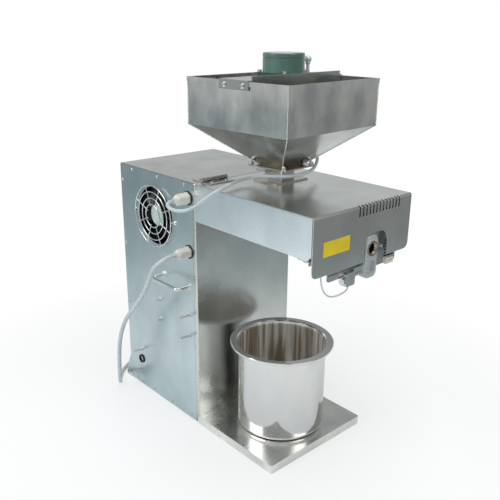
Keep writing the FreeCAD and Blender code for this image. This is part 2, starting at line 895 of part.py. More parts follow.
def make_tray():
    outer = box(tray_back, tray_front, press_y - tray_half, press_y + tray_half, tray_top - tray_depth, tray_top)
    inside = box(tray_back + 1.2, tray_front - 1.2, press_y - tray_half + 1.2,
                 press_y + tray_half - 1.2, tray_top - tray_depth + 1.2, tray_top + 1)
    low = tray_top - tray_depth
    spout = cyl(spout_radius, spout_length, (pot_x, spout_y, low - spout_length), (0, 0, 1))
    hole = cyl(spout_radius - 1.2, tray_depth + spout_length, (pot_x, spout_y, low - spout_length), (0, 0, 1))
    return join([outer.cut(inside), spout]).cut(hole)


save("oil_tray", make_tray())

# Cover: top and front in one folded sheet, turned about the hinge

cover_back = case_front + 0.8
notch_left = press_y - 14.0
notch_right = 51.5
notch_top = 363.0
slot_first = -12.0
slot_pitch = 7.0
slot_count = 13


def make_cover():
    outer = box(cover_back, cover_front, -half, half, cover_bottom, case_top)
    bend = edges_along(outer, (0, 1, 0), lambda c: c.x > 200 and c.z > case_top - 1)
    outer = outer.makeFillet(3.0, bend)
    corners = edges_along(outer, (1, 0, 0), lambda c: c.z < cover_bottom + 1)
    outer = outer.makeFillet(9.0, corners)
    hollow = box(cover_back - 1, cover_front - sheet, -half - 1, half + 1, cover_bottom - 1, case_inner_top)
    shell = outer.cut(hollow)
    notch = box(cover_front - 5, cover_front + 5, notch_left, notch_right, cover_bottom - 5, notch_top)
    notch = notch.makeFillet(17.0, edges_along(notch, (1, 0, 0), lambda c: c.z > notch_top - 1))
    shell = shell.cut(notch)
    shell = shell.cut(cyl(15.5, 10, (hopper_x, hopper_y, case_top - 5), (0, 0, 1)))
    for i in range(slot_count):
        y = slot_first + i * slot_pitch
        low = cyl(1.5, 8, (cover_front - 5, y, case_top - 14.5), (1, 0, 0))
        front = box(cover_front - 5, cover_front + 3, y - 1.5, y + 1.5, case_top - 14.5, case_top + 1)
        shell = shell.cut(low).cut(front)
    return shell


save("cover", make_cover())

# Hinges, one near each side of the arm

leaf = 21.0
leaf_length = 48.0
leaf_thick = 1.2
pin_radius = 1.3
hinge_mids = (-64.0, 64.0)
knuckle = leaf_length / 3


def hinge_leaf(mid, way, spans, bore):
    y0 = mid - leaf_length / 2
    start = hinge_x + way * 1.4
    end = hinge_x + way * leaf
    x0, x1 = sorted((start, end))
    plate = box(x0, x1, y0, y0 + leaf_length, case_top, case_top + leaf_thick)
    parts = [plate]
    for a, b in spans:
        parts.append(cyl(hinge_radius, b - a, (hinge_x, y0 + a, hinge_z), (0, 1, 0)))
        x_in, x_out = sorted((hinge_x + way * 0.9, hinge_x + way * 2.6))
        parts.append(box(x_in, x_out, y0 + a, y0 + b, case_top + 0.2, hinge_z))
    solid = join(parts)
    for y in (mid - 14, mid + 14):
        solid = join([solid, button(3.0, 1.4, (hinge_x + way * 12, y, case_top + leaf_thick), (0, 0, 1))])
    if way < 0:
        clear = box(hinge_x - 3.4, hinge_x + 3.4, y0 + knuckle - gap, y0 + 2 * knuckle + gap,
                    case_top - 1, hinge_z + 4)
        solid = solid.cut(clear)
    else:
        for a, b in ((0, knuckle), (2 * knuckle, leaf_length)):
            solid = solid.cut(box(hinge_x - 3.4, hinge_x + 3.4, y0 + a - gap, y0 + b + gap,
                                  case_top - 1, hinge_z + 4))
    if bore:
        solid = solid.cut(cyl(bore, leaf_length + 2, (hinge_x, y0 - 1, hinge_z), (0, 1, 0)))
    return solid


case_leaves = []
cover_leaves = []
pins = []
for mid in hinge_mids:
    outer_spans = ((0, knuckle - gap), (2 * knuckle + gap, leaf_length))
    case_leaves.append(hinge_leaf(mid, -1, outer_spans, pin_radius))
    cover_leaves.append(hinge_leaf(mid, 1, ((knuckle + gap, 2 * knuckle - gap),), pin_radius + running))
    pins.append(cyl(pin_radius, leaf_length, (hinge_x, mid - leaf_length / 2, hinge_z), (0, 1, 0)))
save("hinge_case_leaves", group(case_leaves))
save("hinge_cover_leaves", group(cover_leaves))
save("hinge_pins", group(pins))

# Hopper stand: seat plate, square neck with a round spigot, upper flange

seat_x = 48.0
seat_y = 70.0
seat_top = case_top + 2.0
neck_half = 14.5
flange_low = 426.5
flange_high = 428.5
flange_x = 74.0
flange_y = 70.0
spigot_end = throat_top - 8


def make_seat():
    plate = box(hopper_x - seat_x / 2, hopper_x + seat_x / 2, hopper_y - seat_y / 2,
                hopper_y + seat_y / 2, case_top, seat_top)
    plate = plate.makeFillet(2.5, edges_along(plate, (0, 0, 1), lambda c: True))
    return plate.cut(cyl(14.0, 10, (hopper_x, hopper_y, case_top - 2), (0, 0, 1)))


save("hopper_seat", make_seat())


def make_neck():
    tube = box(hopper_x - neck_half, hopper_x + neck_half, hopper_y - neck_half,
               hopper_y + neck_half, seat_top, flange_low)
    tube = tube.makeFillet(2.0, edges_along(tube, (0, 0, 1), lambda c: True))
    spigot = cyl(14.0, seat_top - spigot_end + 1, (hopper_x, hopper_y, spigot_end), (0, 0, 1))
    bore = cyl(12.5, 60, (hopper_x, hopper_y, spigot_end - 1), (0, 0, 1))
    return join([tube, spigot]).cut(bore)


save("hopper_neck", make_neck())


def make_flange():
    plate = box(hopper_x - flange_x / 2, hopper_x + flange_x / 2, hopper_y - flange_y / 2,
                hopper_y + flange_y / 2, flange_low, flange_high)
    plate = plate.makeFillet(5.0, edges_along(plate, (0, 0, 1), lambda c: True))
    plate = plate.cut(cyl(12.5, 10, (hopper_x, hopper_y, flange_low - 2), (0, 0, 1)))
    return hopper_turned(plate)


save("hopper_flange", make_flange())

flange_bolts = []
for sx in (-1, 1):
    for sy in (-1, 1):
        at = (hopper_x + sx * (flange_x / 2 - 4.5), hopper_y + sy * (flange_y / 2 - 4.5), flange_high)
        washer = cyl(4.1, 0.8, at, (0, 0, 1))
        nut = hexagon(6.0, 2.8, (at[0], at[1], flange_high + 0.8), (0, 0, 1))
        cap = Part.makeCone(2.8, 1.2, 2.2, V(at[0], at[1], flange_high + 3.6), V(0, 0, 1))
        flange_bolts.append(join([washer, nut, cap]))
save("flange_bolts", hopper_turned(group(flange_bolts)))

# Hopper funnel and bin, welded sheet with open walls

funnel_half = 23.0
hopper_sheet = 1.0


def frustum(half_low, half_high, z_low, z_high):
    wires = []
    for h, z in ((half_low, z_low), (half_high, z_high)):
        corners = [V(hopper_x + a * h, hopper_y + b * h, z) for a, b in ((-1, -1), (1, -1), (1, 1), (-1, 1))]
        wires.append(Part.makePolygon(corners + [corners[0]]))
    return Part.makeLoft(wires, True, True)


def make_funnel():
    big = hopper_size / 2
    outer = frustum(funnel_half, big, flange_high, hopper_shoulder)
    slope = (big - funnel_half) / (hopper_shoulder - flange_high)
    skin = hopper_sheet * math.sqrt(1 + slope * slope)
    low = flange_high - 3
    high = hopper_shoulder + 3
    inside = frustum(funnel_half - skin - 3 * slope, big - skin + 3 * slope, low, high)
    return hopper_turned(outer.cut(inside))


save("hopper_funnel", make_funnel())

hem_height = 6.5


def make_bin():
    big = hopper_size / 2
    x0 = hopper_x - big
    y0 = hopper_y - big
    wall = box(x0, x0 + hopper_size, y0, y0 + hopper_size, hopper_shoulder, hopper_top)
    t = hopper_sheet
    wall = wall.cut(box(x0 + t, x0 + hopper_size - t, y0 + t, y0 + hopper_size - t,
                        hopper_shoulder - 1, hopper_top + 1))
    h = 1.2
    hem = box(x0 - h, x0 + hopper_size + h, y0 - h, y0 + hopper_size + h, hopper_top - hem_height, hopper_top)
    hem = hem.makeFillet(0.8, edges_along(hem, (0, 0, 1), lambda c: True))
    hem = hem.cut(box(x0 + t, x0 + hopper_size - t, y0 + t, y0 + hopper_size - t,
                      hopper_top - hem_height - 1, hopper_top + 1))
    return hopper_turned(join([wall, hem]))


save("hopper_bin", make_bin())

# Bracket over the bin for the feed motor

bracket_half = 28.0
bracket_sheet = 1.5
tab_height = 13.0
lip_height = 7.0


def make_bracket():
    big = hopper_size / 2 + 1.2
    z0 = hopper_top
    z1 = z0 + bracket_sheet
    x0 = hopper_x - bracket_half
    x1 = hopper_x + bracket_half
    y0 = hopper_y - big - bracket_sheet
    y1 = hopper_y + big + bracket_sheet
    parts = [box(x0, x1, y0, y1, z0, z1)]
    for y in (y0, y1 - bracket_sheet):
        parts.append(box(x0, x1, y, y + bracket_sheet, z1 - tab_height, z1))
    inside = hopper_size / 2 - hopper_sheet - 3
    for x in (x0, x1 - bracket_sheet):
        parts.append(box(x, x + bracket_sheet, hopper_y - inside, hopper_y + inside, z1 - 11, z1))
    parts.append(box(x1 - 1, x1 + bracket_sheet, hopper_y - inside, hopper_y + inside, z0, z1))
    parts.append(box(x1, x1 + bracket_sheet, hopper_y - inside, hopper_y + inside, z0, z0 + lip_height))
    solid = join(parts)
    return hopper_turned(solid.cut(cyl(5.0, 10, (hopper_x, hopper_y, z0 - 3), (0, 0, 1))))


save("motor_bracket", make_bracket())

bracket_bolts = []
for side in (-1, 1):
    y = hopper_y + side * (hopper_size / 2 + 1.2 + bracket_sheet)
    for dx in (-17.5, 17.5):
        bracket_bolts.append(button(3.6, 3.0, (hopper_x + dx, y, hopper_top - 6), (0, side, 0)))
save("bracket_bolts", hopper_turned(group(bracket_bolts)))

# Feed motor and its cable elbow

motor_low = hopper_top + bracket_sheet
feed_flange_height = 5.5
feed_flange_top = motor_low + feed_flange_height
agitator_radius = 4.0
feed_motor_height = 27.0
feed_top = feed_flange_top + feed_motor_height
feed_radius = 30.0
shaft_bite = 11.0


def make_feed_flange():
    h = 28.0
    plate = box(hopper_x - h, hopper_x + h, hopper_y - h, hopper_y + h, motor_low, feed_flange_top)
    plate = plate.makeFillet(4.0, edges_along(plate, (0, 0, 1), lambda c: True))
    bore = cyl(5.0, 12, (hopper_x, hopper_y, motor_low - 3), (0, 0, 1))
    return hopper_turned(plate.cut(bore))


save("feed_motor_flange", make_feed_flange())


def make_feed_motor():
    body = cyl(feed_radius, feed_top - feed_flange_top, (hopper_x, hopper_y, feed_flange_top), (0, 0, 1))
    top_edge = [e for e in body.Edges if e.CenterOfMass.z > feed_top - 0.1 and e.Length > 100]
    body = body.makeFillet(2.0, top_edge)
    seam_ring = ring(feed_radius + 1, feed_radius - 0.8, 1.0, (hopper_x, hopper_y, feed_top - 7.5), (0, 0, 1))
    bore = cyl(agitator_radius + running, shaft_bite + 1, (hopper_x, hopper_y, feed_flange_top), (0, 0, 1))
    return body.cut(seam_ring).cut(bore)


save("feed_motor", make_feed_motor())

feed_bolts = []
for sx in (-1, 1):
    for sy in (-1, 1):
        at = (hopper_x + sx * 24.0, hopper_y + sy * 24.0, feed_flange_top)
        feed_bolts.append(hexagon(5.5, 3.2, at, (0, 0, 1)))
save("feed_motor_bolts", hopper_turned(group(feed_bolts)))

elbow_y = hopper_y + feed_radius
elbow_end_y = elbow_y + 21
elbow_z = feed_top - 6.5


def make_elbow():
    run = V(0, 20, -4)
    stem = cyl(3.2, 22, (hopper_x, elbow_y - 2, elbow_z + 0.4), (run.x, run.y, run.z))
    knob = Part.makeSphere(5.2, V(hopper_x, elbow_end_y - 1, elbow_z - 4))
    drop = cyl(3.6, 7, (hopper_x, elbow_end_y - 1, elbow_z - 4), (0, 0, -1))
    body = join([stem, knob, drop])
    inside = cyl(feed_radius, 40, (hopper_x, hopper_y, feed_top - 30), (0, 0, 1))
    return body.cut(inside)


save("feed_motor_elbow", make_elbow())

# Agitator: a shaft with three paddles and a wire finger in the neck

agitator_low = seat_top + 5.0
paddle_arm_radius = 2.5
paddle_rows = ((hopper_top - 22.0, 62.0), (hopper_shoulder + 21.0, 50.0), (hopper_shoulder - 3.0, 38.0))
finger_radius = 1.5
finger_reach = 7.0


def make_agitator():
    top = feed_flange_top + shaft_bite
    shaft = cyl(agitator_radius, top - agitator_low, (hopper_x, hopper_y, agitator_low), (0, 0, 1))
    parts = [shaft]
    for i, (z, reach) in enumerate(paddle_rows):
        arm = cyl(paddle_arm_radius, 2 * reach, (hopper_x - reach, hopper_y, z), (1, 0, 0))
        blades = [arm]
        for side in (-1, 1):
            x = hopper_x + side * reach
            blades.append(box(x - 5, x + 5, hopper_y - 1, hopper_y + 1, z - 7, z + 7))
        paddle = join(blades)
        paddle.rotate(V(hopper_x, hopper_y, 0), V(0, 0, 1), 60 * i + 20)
        parts.append(paddle)
    finger_x = hopper_x - finger_reach
    parts.append(cyl(finger_radius, 2 * finger_reach, (finger_x, hopper_y, agitator_low + 4), (1, 0, 0)))
    return join(parts)


save("agitator", make_agitator())

# Oil pot

pot_floor = base_height + gap
pot_wall = 1.0


def make_pot():
    z0 = pot_floor
    z1 = z0 + pot_height
    r = pot_radius
    w = pot_wall
    outer = [(0, z0), (r - 7, z0), (r - 3.4, z0 + 1), (r - 1, z0 + 3.4), (r, z0 + 7), (r, z1 - 6),
             (r + 0.9, z1 - 3), (r + 3, z1 - 1.4), (pot_rim_radius - 2, z1 - 0.6),
             (pot_rim_radius - 0.6, z1 - 1.4), (pot_rim_radius, z1 - 2.6), (pot_rim_radius, z1),
             (pot_rim_radius - 1, z1 + 0.9), (r + 2, z1 + 0.4), (r + 0.2, z1 - 1.4), (r - w, z1 - 5),
             (r - w, z0 + 7), (r - 2, z0 + 4), (r - 4, z0 + 2), (r - 7, z0 + w), (0, z0 + w)]
    points = [(pot_x + a, pot_y, z) for a, z in outer]
    return revolved(points, (pot_x, pot_y, 0), (0, 0, 1))


save("oil_pot", make_pot())

# Cords: the feed motor's lead, the mains lead, and the sensor's lead


def cord(points, diameter, start_way, name):
    solid, length, radii = swept(points, diameter / 2, start_way)
    section = math.pi * diameter * diameter / 4
    print(name, "valid", solid.isValid(), "length", round(length, 1), "volume", round(solid.Volume),
          "section by length", round(section * length))
    print(name, "radii", [round(r) for r in radii])
    return solid


lead_end = (hopper_x, elbow_end_y - 1, elbow_z - 11 - running)
lead_points = [(gland_x, gland_end, upper_gland_z), (gland_x, -132.0, upper_gland_z), (9.8, -139.0, 379.2),
               (15.8, -143.6, 377.8), (24.0, -145.0, 376.0), (34.0, -143.0, 374.4), (45.0, -138.5, 375.2),
               (56.0, -133.5, 379.5), (68.0, -129.0, 387.5),
               (79.0, -123.0, 398.0), (85.0, -108.0, 407.5), (82.0, -84.0, 411.5), (71.0, -58.0, 412.0),
               (70.0, -34.0, 413.0), (86.0, -22.0, 416.0), (108.0, -18.0, 418.5), (125.0, -4.0, 420.0),
               (126.5, 18.0, 420.5), (121.0, 38.0, 420.5), (114.0, 56.0, 422.0), (103.0, 74.0, 427.5),
               (88.0, 91.0, 431.0), (70.0, 108.0, 433.0), (50.0, 122.0, 441.0), (33.0, 127.0, 461.0),
               (24.0, 127.0, 490.0), (18.0, 125.0, 522.0), (15.0, 122.0, 548.0), (18.0, 114.0, 560.0),
               (30.0, 104.0, 563.0), (46.0, 95.0, 562.2), (61.0, 84.5, 560.2), (73.5, 74.8, 558.9),
               (81.0, 68.8, 560.4), (hopper_x, elbow_end_y - 1, elbow_z - 16.3), lead_end]
save("hopper_lead", cord(lead_points, lead_diameter, (0, -1, 0), "hopper_lead"))

coil_x = -280.0
coil_y = 62.0
coil_ring = 36.0
coil_outer_turn = coil_x + coil_ring + mains_diameter
coil_wide = 3 * mains_diameter
coil_high = 2 * mains_diameter
floor_z = mains_diameter / 2 + 0.1
mains_points = [(gland_x, gland_end, lower_gland_z), (gland_x, -134.8, lower_gland_z), (5.0, -144.0, 293.4),
                (2.0, -151.7, 288.5), (-2.3, -157.2, 281.9), (-7.3, -159.8, 273.8), (-12.6, -159.6, 265.4),
                (-22.0, -158.2, 250.0), (-34.0, -156.2, 234.5), (-54.0, -153.8, 212.0), (-78.0, -151.0, 189.0),
                (-101.0, -148.0, 167.0), (-119.0, -146.0, 146.5), (-136.0, -144.0, 118.0),
                (-147.0, -142.0, 90.0), (-152.5, -140.5, 64.0), (-154.0, -140.2, 44.0), (-154.6, -140.0, 31.0),
                (-157.1, -138.6, 21.0), (-162.1, -135.8, 12.6), (-169.0, -131.8, 6.7), (-177.2, -127.2, floor_z),
                (-188.0, -120.4, floor_z), (-206.0, -104.0, floor_z),
                (-222.0, -80.0, floor_z), (-230.5, -50.0, floor_z), (-235.0, -19.0, floor_z),
                (-236.7, 12.0, floor_z), (coil_outer_turn, coil_y - 20.0, floor_z)]
save("mains_cord", cord(mains_points, mains_diameter, (0, -1, 0), "mains_cord"))

coil_low = floor_z - mains_diameter / 2
coil = ring(coil_ring + coil_wide / 2, coil_ring - coil_wide / 2, coil_high, (coil_x, coil_y, coil_low), (0, 0, 1))
coil = coil.makeFillet(3.0, [e for e in coil.Edges if e.Length > 2 * coil_ring and len(e.Vertexes) == 1])
save("mains_coil", coil)


def make_plug():
    x = coil_x - 16.0
    y = coil_y + coil_ring
    z = coil_low + coil_high + 12.5
    body = box(x - 16, x + 16, y - 12, y + 12, z - 12.5, z + 12)
    body = body.makeFillet(7.0, edges_along(body, (1, 0, 0), lambda c: True))
    nose = Part.makeCone(7.5, 4.5, 12, V(x + 16, y, z), V(1, 0, 0))
    pins = [cyl(2.4, 19, (x - 16, y + s * 6.5, z), (-1, 0, 0)) for s in (-1, 1)]
    return join([body, nose] + pins)


save("mains_plug", make_plug())

sensor_points = [(sensor_x, -22.0, 297.0), (sensor_x, -22.0, 293.0), (sensor_x, -25.5, 289.5),
                 (sensor_x, -33.0, 287.8), (sensor_x, -45.0, 287.4), (sensor_x, -57.0, 289.2),
                 (sensor_x, -67.0, 295.5), (sensor_x, -74.0, 305.5), (sensor_x, -77.4, 319.0),
                 (sensor_end_x, -77.0, 334.0), (sensor_end_x, -77.0, arm_bottom - 1)]
save("sensor_lead", cord(sensor_points, sensor_diameter, (0, 0, -1), "sensor_lead"))
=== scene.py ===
import logging
import math
from dataclasses import dataclass
from enum import Enum
from functools import cache

import bmesh
import bpy
from mathutils import Matrix, Vector


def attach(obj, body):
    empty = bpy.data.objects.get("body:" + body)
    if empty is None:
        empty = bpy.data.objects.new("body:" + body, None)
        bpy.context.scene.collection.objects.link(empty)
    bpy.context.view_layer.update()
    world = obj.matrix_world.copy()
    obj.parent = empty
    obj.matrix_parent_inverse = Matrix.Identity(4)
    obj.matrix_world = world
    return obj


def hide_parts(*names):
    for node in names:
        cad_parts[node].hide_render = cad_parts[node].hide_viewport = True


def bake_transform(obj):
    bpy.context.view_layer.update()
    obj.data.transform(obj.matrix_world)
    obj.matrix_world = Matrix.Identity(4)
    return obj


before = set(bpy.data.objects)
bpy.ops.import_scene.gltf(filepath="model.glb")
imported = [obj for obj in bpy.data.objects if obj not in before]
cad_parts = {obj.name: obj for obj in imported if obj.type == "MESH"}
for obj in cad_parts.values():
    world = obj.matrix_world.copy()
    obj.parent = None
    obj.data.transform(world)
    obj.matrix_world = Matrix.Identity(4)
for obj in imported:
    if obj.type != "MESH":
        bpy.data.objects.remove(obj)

log = logging.getLogger("oil_press")

Point = tuple[float, float, float]
Colour = tuple[float, float, float]
Span = tuple[float, float]
Socket = bpy.types.NodeSocket
Shape = bmesh.types.BMesh
Inputs = dict[str | int, object]

EVEN: Point = (1.0, 1.0, 1.0)
MIDDLE: Span = (0.3, 0.7)
FAN_CENTRE: Point = (-0.082, 0.0, 0.334)
ALL_SMOOTH = 3.2  # radians, past half a turn: no edge is sharp


class Grain(Enum):
    """The way that a sheet's brushed lines run."""

    ALONG_X = (6.0, 900.0, 900.0)
    ALONG_Y = (900.0, 6.0, 900.0)
    ALONG_Z = (900.0, 900.0, 6.0)
    NONE = (400.0, 400.0, 400.0)


class Body(Enum):
    """The rigid bodies of the frame that pieces ride on."""

    HOUSING = "housing"
    COVER = "cover"
    IMPELLER = "fan_impeller"


class Nodes:
    """A thin wrapper that adds nodes to a tree and feeds their sockets."""

    def __init__(self, tree: bpy.types.NodeTree) -> None:
        """Keep the tree that the nodes go into."""
        self.tree = tree

    def add(self, kind: str, inputs: Inputs | None = None, **values: object) -> bpy.types.Node:
        """Add a node, set its properties and feed its inputs.

        Args:
            kind: the node's type name.
            inputs: output sockets or plain values, by the input's name or number.
            values: properties of the node.

        Returns:
            The new node.
        """
        node = self.tree.nodes.new(kind)
        for name, value in values.items():
            setattr(node, name, value)
        for key, value in (inputs or {}).items():
            self.feed(node.inputs[key], value)
        return node

    def feed(self, end: Socket, value: object) -> None:
        """Join an output to an input, or set the input's plain value.

        Args:
            end: the input.
            value: an output socket or a plain value.
        """
        if isinstance(value, Socket):
            self.tree.links.new(value, end)
        else:
            end.default_value = value

    def math(self, operation: str, first: object, second: object) -> Socket:
        """The result of a Math node on two sockets or numbers."""
        return self.add("ShaderNodeMath", {0: first, 1: second}, operation=operation).outputs[0]

    def vector(self, operation: str, first: Socket, second: Point = EVEN) -> Socket:
        """The number that a Vector Math node gives."""
        return self.add("ShaderNodeVectorMath", {0: first, 1: second}, operation=operation).outputs["Value"]

    def spread(self, value: Socket, span: Span, to: Span = (0.0, 1.0)) -> Socket:
        """The value mapped from one span to another, clamped."""
        ends = {1: span[0], 2: span[1], 3: to[0], 4: to[1]}
        return self.add("ShaderNodeMapRange", {0: value, **ends}).outputs[0]

    def noise(self, place: Socket, scale: float, detail: float = 3.0, stretch: Point = EVEN) -> Socket:
        """A noise value on coordinates whose axes are first multiplied by stretch."""
        where = self.add("ShaderNodeMapping", {"Vector": place, "Scale": stretch}).outputs[0]
        return self.add("ShaderNodeTexNoise", {"Vector": where, "Scale": scale, "Detail": detail}).outputs[0]

    def about(self, place: Socket, centre: Point, scale: Point = EVEN) -> Socket:
        """Coordinates with each axis multiplied by scale, then measured from a centre."""
        aside = tuple(-c for c in centre)
        return self.add("ShaderNodeMapping", {"Vector": place, "Location": aside, "Scale": scale}).outputs[0]

    def axes(self, place: Socket) -> list[Socket]:
        """The X, Y and Z of coordinates."""
        return list(self.add("ShaderNodeSeparateXYZ", {0: place}).outputs)

    def tint(self, factor: Socket, low: object, high: object) -> Socket:
        """A blend of two colours, each its socket or its three numbers: 0 gives low and 1 gives high."""
        low, high = (end if isinstance(end, Socket) else (*end, 1.0) for end in (low, high))
        return self.add("ShaderNodeMix", {"Factor": factor, "A": low, "B": high},
                        data_type="RGBA").outputs["Result"]

    def blend(self, factor: Socket, low: bpy.types.Node, high: bpy.types.Node) -> Socket:
        """A blend of two shaders: factor 0 gives low and 1 gives high."""
        return self.add("ShaderNodeMixShader", {0: factor, 1: low.outputs[0], 2: high.outputs[0]}).outputs[0]


def fresh_nodes(owner: bpy.types.ID) -> Nodes:
    """Empty the shader tree of a material or a world.

    Args:
        owner: the material or the world.

    Returns:
        Its tree, ready for new nodes.
    """
    owner.use_nodes = True
    owner.node_tree.nodes.clear()
    return Nodes(owner.node_tree)


def shaded(colour: Colour, factor: float) -> Colour:
    """A colour made darker or lighter by a factor."""
    return tuple(min(1.0, part * factor) for part in colour)


class Surface(Nodes):
    """A new material's nodes, with a surface shader and object coordinates."""

    def __init__(self, name: str) -> None:
        """Make the material.

        Args:
            name: the material's name.
        """
        self.material = bpy.data.materials.new(name)
        super().__init__(fresh_nodes(self.material).tree)
        self.shader = self.add("ShaderNodeBsdfPrincipled")
        self.add("ShaderNodeOutputMaterial", {"Surface": self.shader.outputs[0]})
        self.place = self.add("ShaderNodeTexCoord").outputs["Object"]

    def grain(self, scale: float, detail: float = 3.0, stretch: Point = EVEN) -> Socket:
        """A noise value on the surface's own coordinates."""
        return self.noise(self.place, scale, detail, stretch)

    def wear(self, values: Inputs) -> None:
        """Feed the shader's inputs with sockets or plain values."""
        for label, value in values.items():
            self.feed(self.shader.inputs[label], value)

    def relief(self, layers: list[tuple[Socket, float, float]], edge: float = 0.0) -> None:
        """Give the shader a bumped normal.

        Args:
            layers: height, strength and depth in metres of each layer, the largest first.
            edge: the radius in metres that sharp edges are rounded by, or 0.
        """
        below = {}
        if edge > 0:
            below = {"Normal": self.add("ShaderNodeBevel", {"Radius": edge}, samples=4).outputs[0]}
        for height, strength, depth in layers:
            bump = {"Strength": strength, "Distance": depth, "Height": height, **below}
            below = {"Normal": self.add("ShaderNodeBump", bump).outputs[0]}
        self.wear(below)


class Finish:
    """What every finish shares: a way to lie on a surface."""

    def lay(self, on: Surface) -> None:
        """Lay the finish on a surface, in each finish's own way."""
        raise NotImplementedError


@dataclass(frozen=True)
class SheetSteel(Finish):
    """Brushed or polished stainless sheet with grain, waves and handling marks."""

    colour: Colour
    roughness: float
    grain: Grain
    grain_strength: float
    wave: float
    wave_scale: float
    smudge: float
    mottle: float
    edge: float = 0.0006
    cloud_scale: float = 14.0
    cloud_span: Span = (0.42, 0.70)
    stain_scale: float = 26.0
    stain_span: Span = (0.35, 0.65)
    stain_stretch: Point = (1.0, 1.0, 0.6)
    wave_depth: float = 0.002
    grain_depth: float = 0.0002

    def lay(self, on: Surface) -> None:
        """Lay the sheet's colour, marks and relief.

        Args:
            on: the surface that takes them.
        """
        streak = on.grain(1.0, 2.0, self.grain.value)
        cloud = on.grain(self.cloud_scale, 4.0)
        swell = on.grain(self.wave_scale, 1.0)
        stain = on.grain(self.stain_scale, 6.0, self.stain_stretch)
        warm = (self.colour[0] * 1.01, self.colour[1], self.colour[2] * (1.0 - 0.4 * self.mottle))
        colour = on.tint(on.spread(stain, self.stain_span), shaded(self.colour, 1.0 - 2.2 * self.mottle),
                         shaded(warm, 1.0 + self.mottle))
        marks = on.math("MULTIPLY", on.spread(cloud, self.cloud_span), self.smudge)
        lines = on.math("MULTIPLY", on.spread(streak, MIDDLE, (-1.0, 1.0)), self.grain_strength * 0.4)
        rough = on.math("ADD", on.math("ADD", marks, lines), self.roughness)
        on.wear({"Base Color": colour, "Roughness": rough, "Metallic": 1.0})
        on.relief([(swell, self.wave, self.wave_depth), (streak, self.grain_strength, self.grain_depth)],
                  self.edge)


@dataclass(frozen=True)
class PotSteel(SheetSteel):
    """Pot steel that is polished outside, and satin inside its wall with painted reflection streaks."""

    axis: Point = (0.1127, -0.0015, 0.0)
    inner_radius: float = 0.0691
    inner_low: float = 0.0190
    satin: float = 0.06
    inner_metallic: float = 0.45
    # Painted reflection: vertical streaks of a dark brown and a pale colour on the inside wall stand in for
    # the room reflected there.
    reflection_streak_scale: float = 125.0
    reflection_streak_span: Span = (0.40, 0.62)
    reflection_streak_stretch: Point = (1.0, 1.0, 0.05)
    painted_reflection_dark: Colour = (0.40, 0.33, 0.25)
    clear: Colour = (0.99, 0.98, 0.94)

    def lay(self, on: Surface) -> None:
        """Lay the sheet, and the painted reflection streaks inside the wall.

        Args:
            on: the surface that takes them.
        """
        super().lay(on)
        colour = on.shader.inputs["Base Color"].links[0].from_socket
        rough = on.shader.inputs["Roughness"].links[0].from_socket
        reach = on.vector("LENGTH", on.about(on.place, self.axis, (1.0, 1.0, 0.0)))
        inside = on.math("MULTIPLY", on.math("LESS_THAN", reach, self.inner_radius),
                         on.math("GREATER_THAN", on.axes(on.place)[2], self.inner_low))
        # Painted reflection: inside the wall the colour is a blend of dark brown and pale streaks, and the
        # metallic is lowered so the lamps light that colour.
        streak = on.spread(on.grain(self.reflection_streak_scale, 3.0, self.reflection_streak_stretch), self.reflection_streak_span)
        on.wear({"Base Color": on.tint(inside, colour, on.tint(streak, self.painted_reflection_dark, self.clear)),
                 "Roughness": on.math("ADD", rough, on.math("MULTIPLY", inside, self.satin)),
                 "Metallic": on.spread(inside, (0.0, 1.0), (1.0, self.inner_metallic))})


@dataclass(frozen=True)
class Machined(Finish):
    """Turned, cast or plated metal with fine tool lines and broad darker and lighter patches."""

    colour: Colour
    roughness: float
    pitting: float
    metallic: float = 1.0
    scale: float = 350.0
    edge: float = 0.0004
    broad_scale: float = 60.0
    pit_depth: float = 0.0003

    def lay(self, on: Surface) -> None:
        """Lay the metal's colour and pits.

        Args:
            on: the surface that takes them.
        """
        fine = on.grain(self.scale, 4.0)
        broad = on.spread(on.grain(self.broad_scale), MIDDLE)
        on.wear({"Base Color": on.tint(broad, shaded(self.colour, 0.86), shaded(self.colour, 1.05)),
                 "Roughness": on.spread(fine, MIDDLE, (self.roughness - 0.06, self.roughness + 0.10)),
                 "Metallic": self.metallic})
        on.relief([(fine, self.pitting, self.pit_depth)], self.edge)


@dataclass(frozen=True)
class Paint(Finish):
    """Glossy machine paint over a casting, with orange peel and broad patches of dust."""

    colour: Colour
    roughness: float = 0.16
    peel: float = 0.08
    edge: float = 0.0008
    peel_scale: float = 260.0
    peel_depth: float = 0.0004
    dust_scale: float = 35.0
    coat_roughness: float = 0.06

    def lay(self, on: Surface) -> None:
        """Lay the paint with its dust and its clear coat.

        Args:
            on: the surface that takes them.
        """
        peel = on.grain(self.peel_scale, 2.0)
        dust = on.grain(self.dust_scale, 5.0)
        pale = on.tint(on.spread(dust, (0.45, 0.75)), self.colour, shaded(self.colour, 1.35))
        on.wear({"Base Color": pale, "Coat Weight": 1.0, "Coat Roughness": self.coat_roughness,
                 "Roughness": on.spread(dust, (0.4, 0.75), (self.roughness, self.roughness + 0.15))})
        on.relief([(peel, self.peel, self.peel_depth)], self.edge)


@dataclass(frozen=True)
class Moulded(Finish):
    """Moulded plastic or rubber with a fine grain and a slightly uneven tone."""

    colour: Colour
    roughness: float = 0.45
    grain: float = 0.10
    scale: float = 700.0
    glow: float = 0.0
    edge: float = 0.0003
    glow_radius: Point = (0.002, 0.0015, 0.001)
    broad_scale: float = 45.0
    grain_depth: float = 0.0002

    def lay(self, on: Surface) -> None:
        """Lay the moulding's tone, grain and glow.

        Args:
            on: the surface that takes them.
        """
        fine = on.grain(self.scale, 2.0)
        broad = on.grain(self.broad_scale)
        tone = on.tint(on.spread(broad, MIDDLE), shaded(self.colour, 0.92), shaded(self.colour, 1.06))
        on.wear({"Base Color": tone, "Subsurface Weight": self.glow, "Subsurface Radius": self.glow_radius,
                 "Roughness": on.spread(broad, MIDDLE, (self.roughness - 0.04, self.roughness + 0.08))})
        on.relief([(fine, self.grain, self.grain_depth)], self.edge)


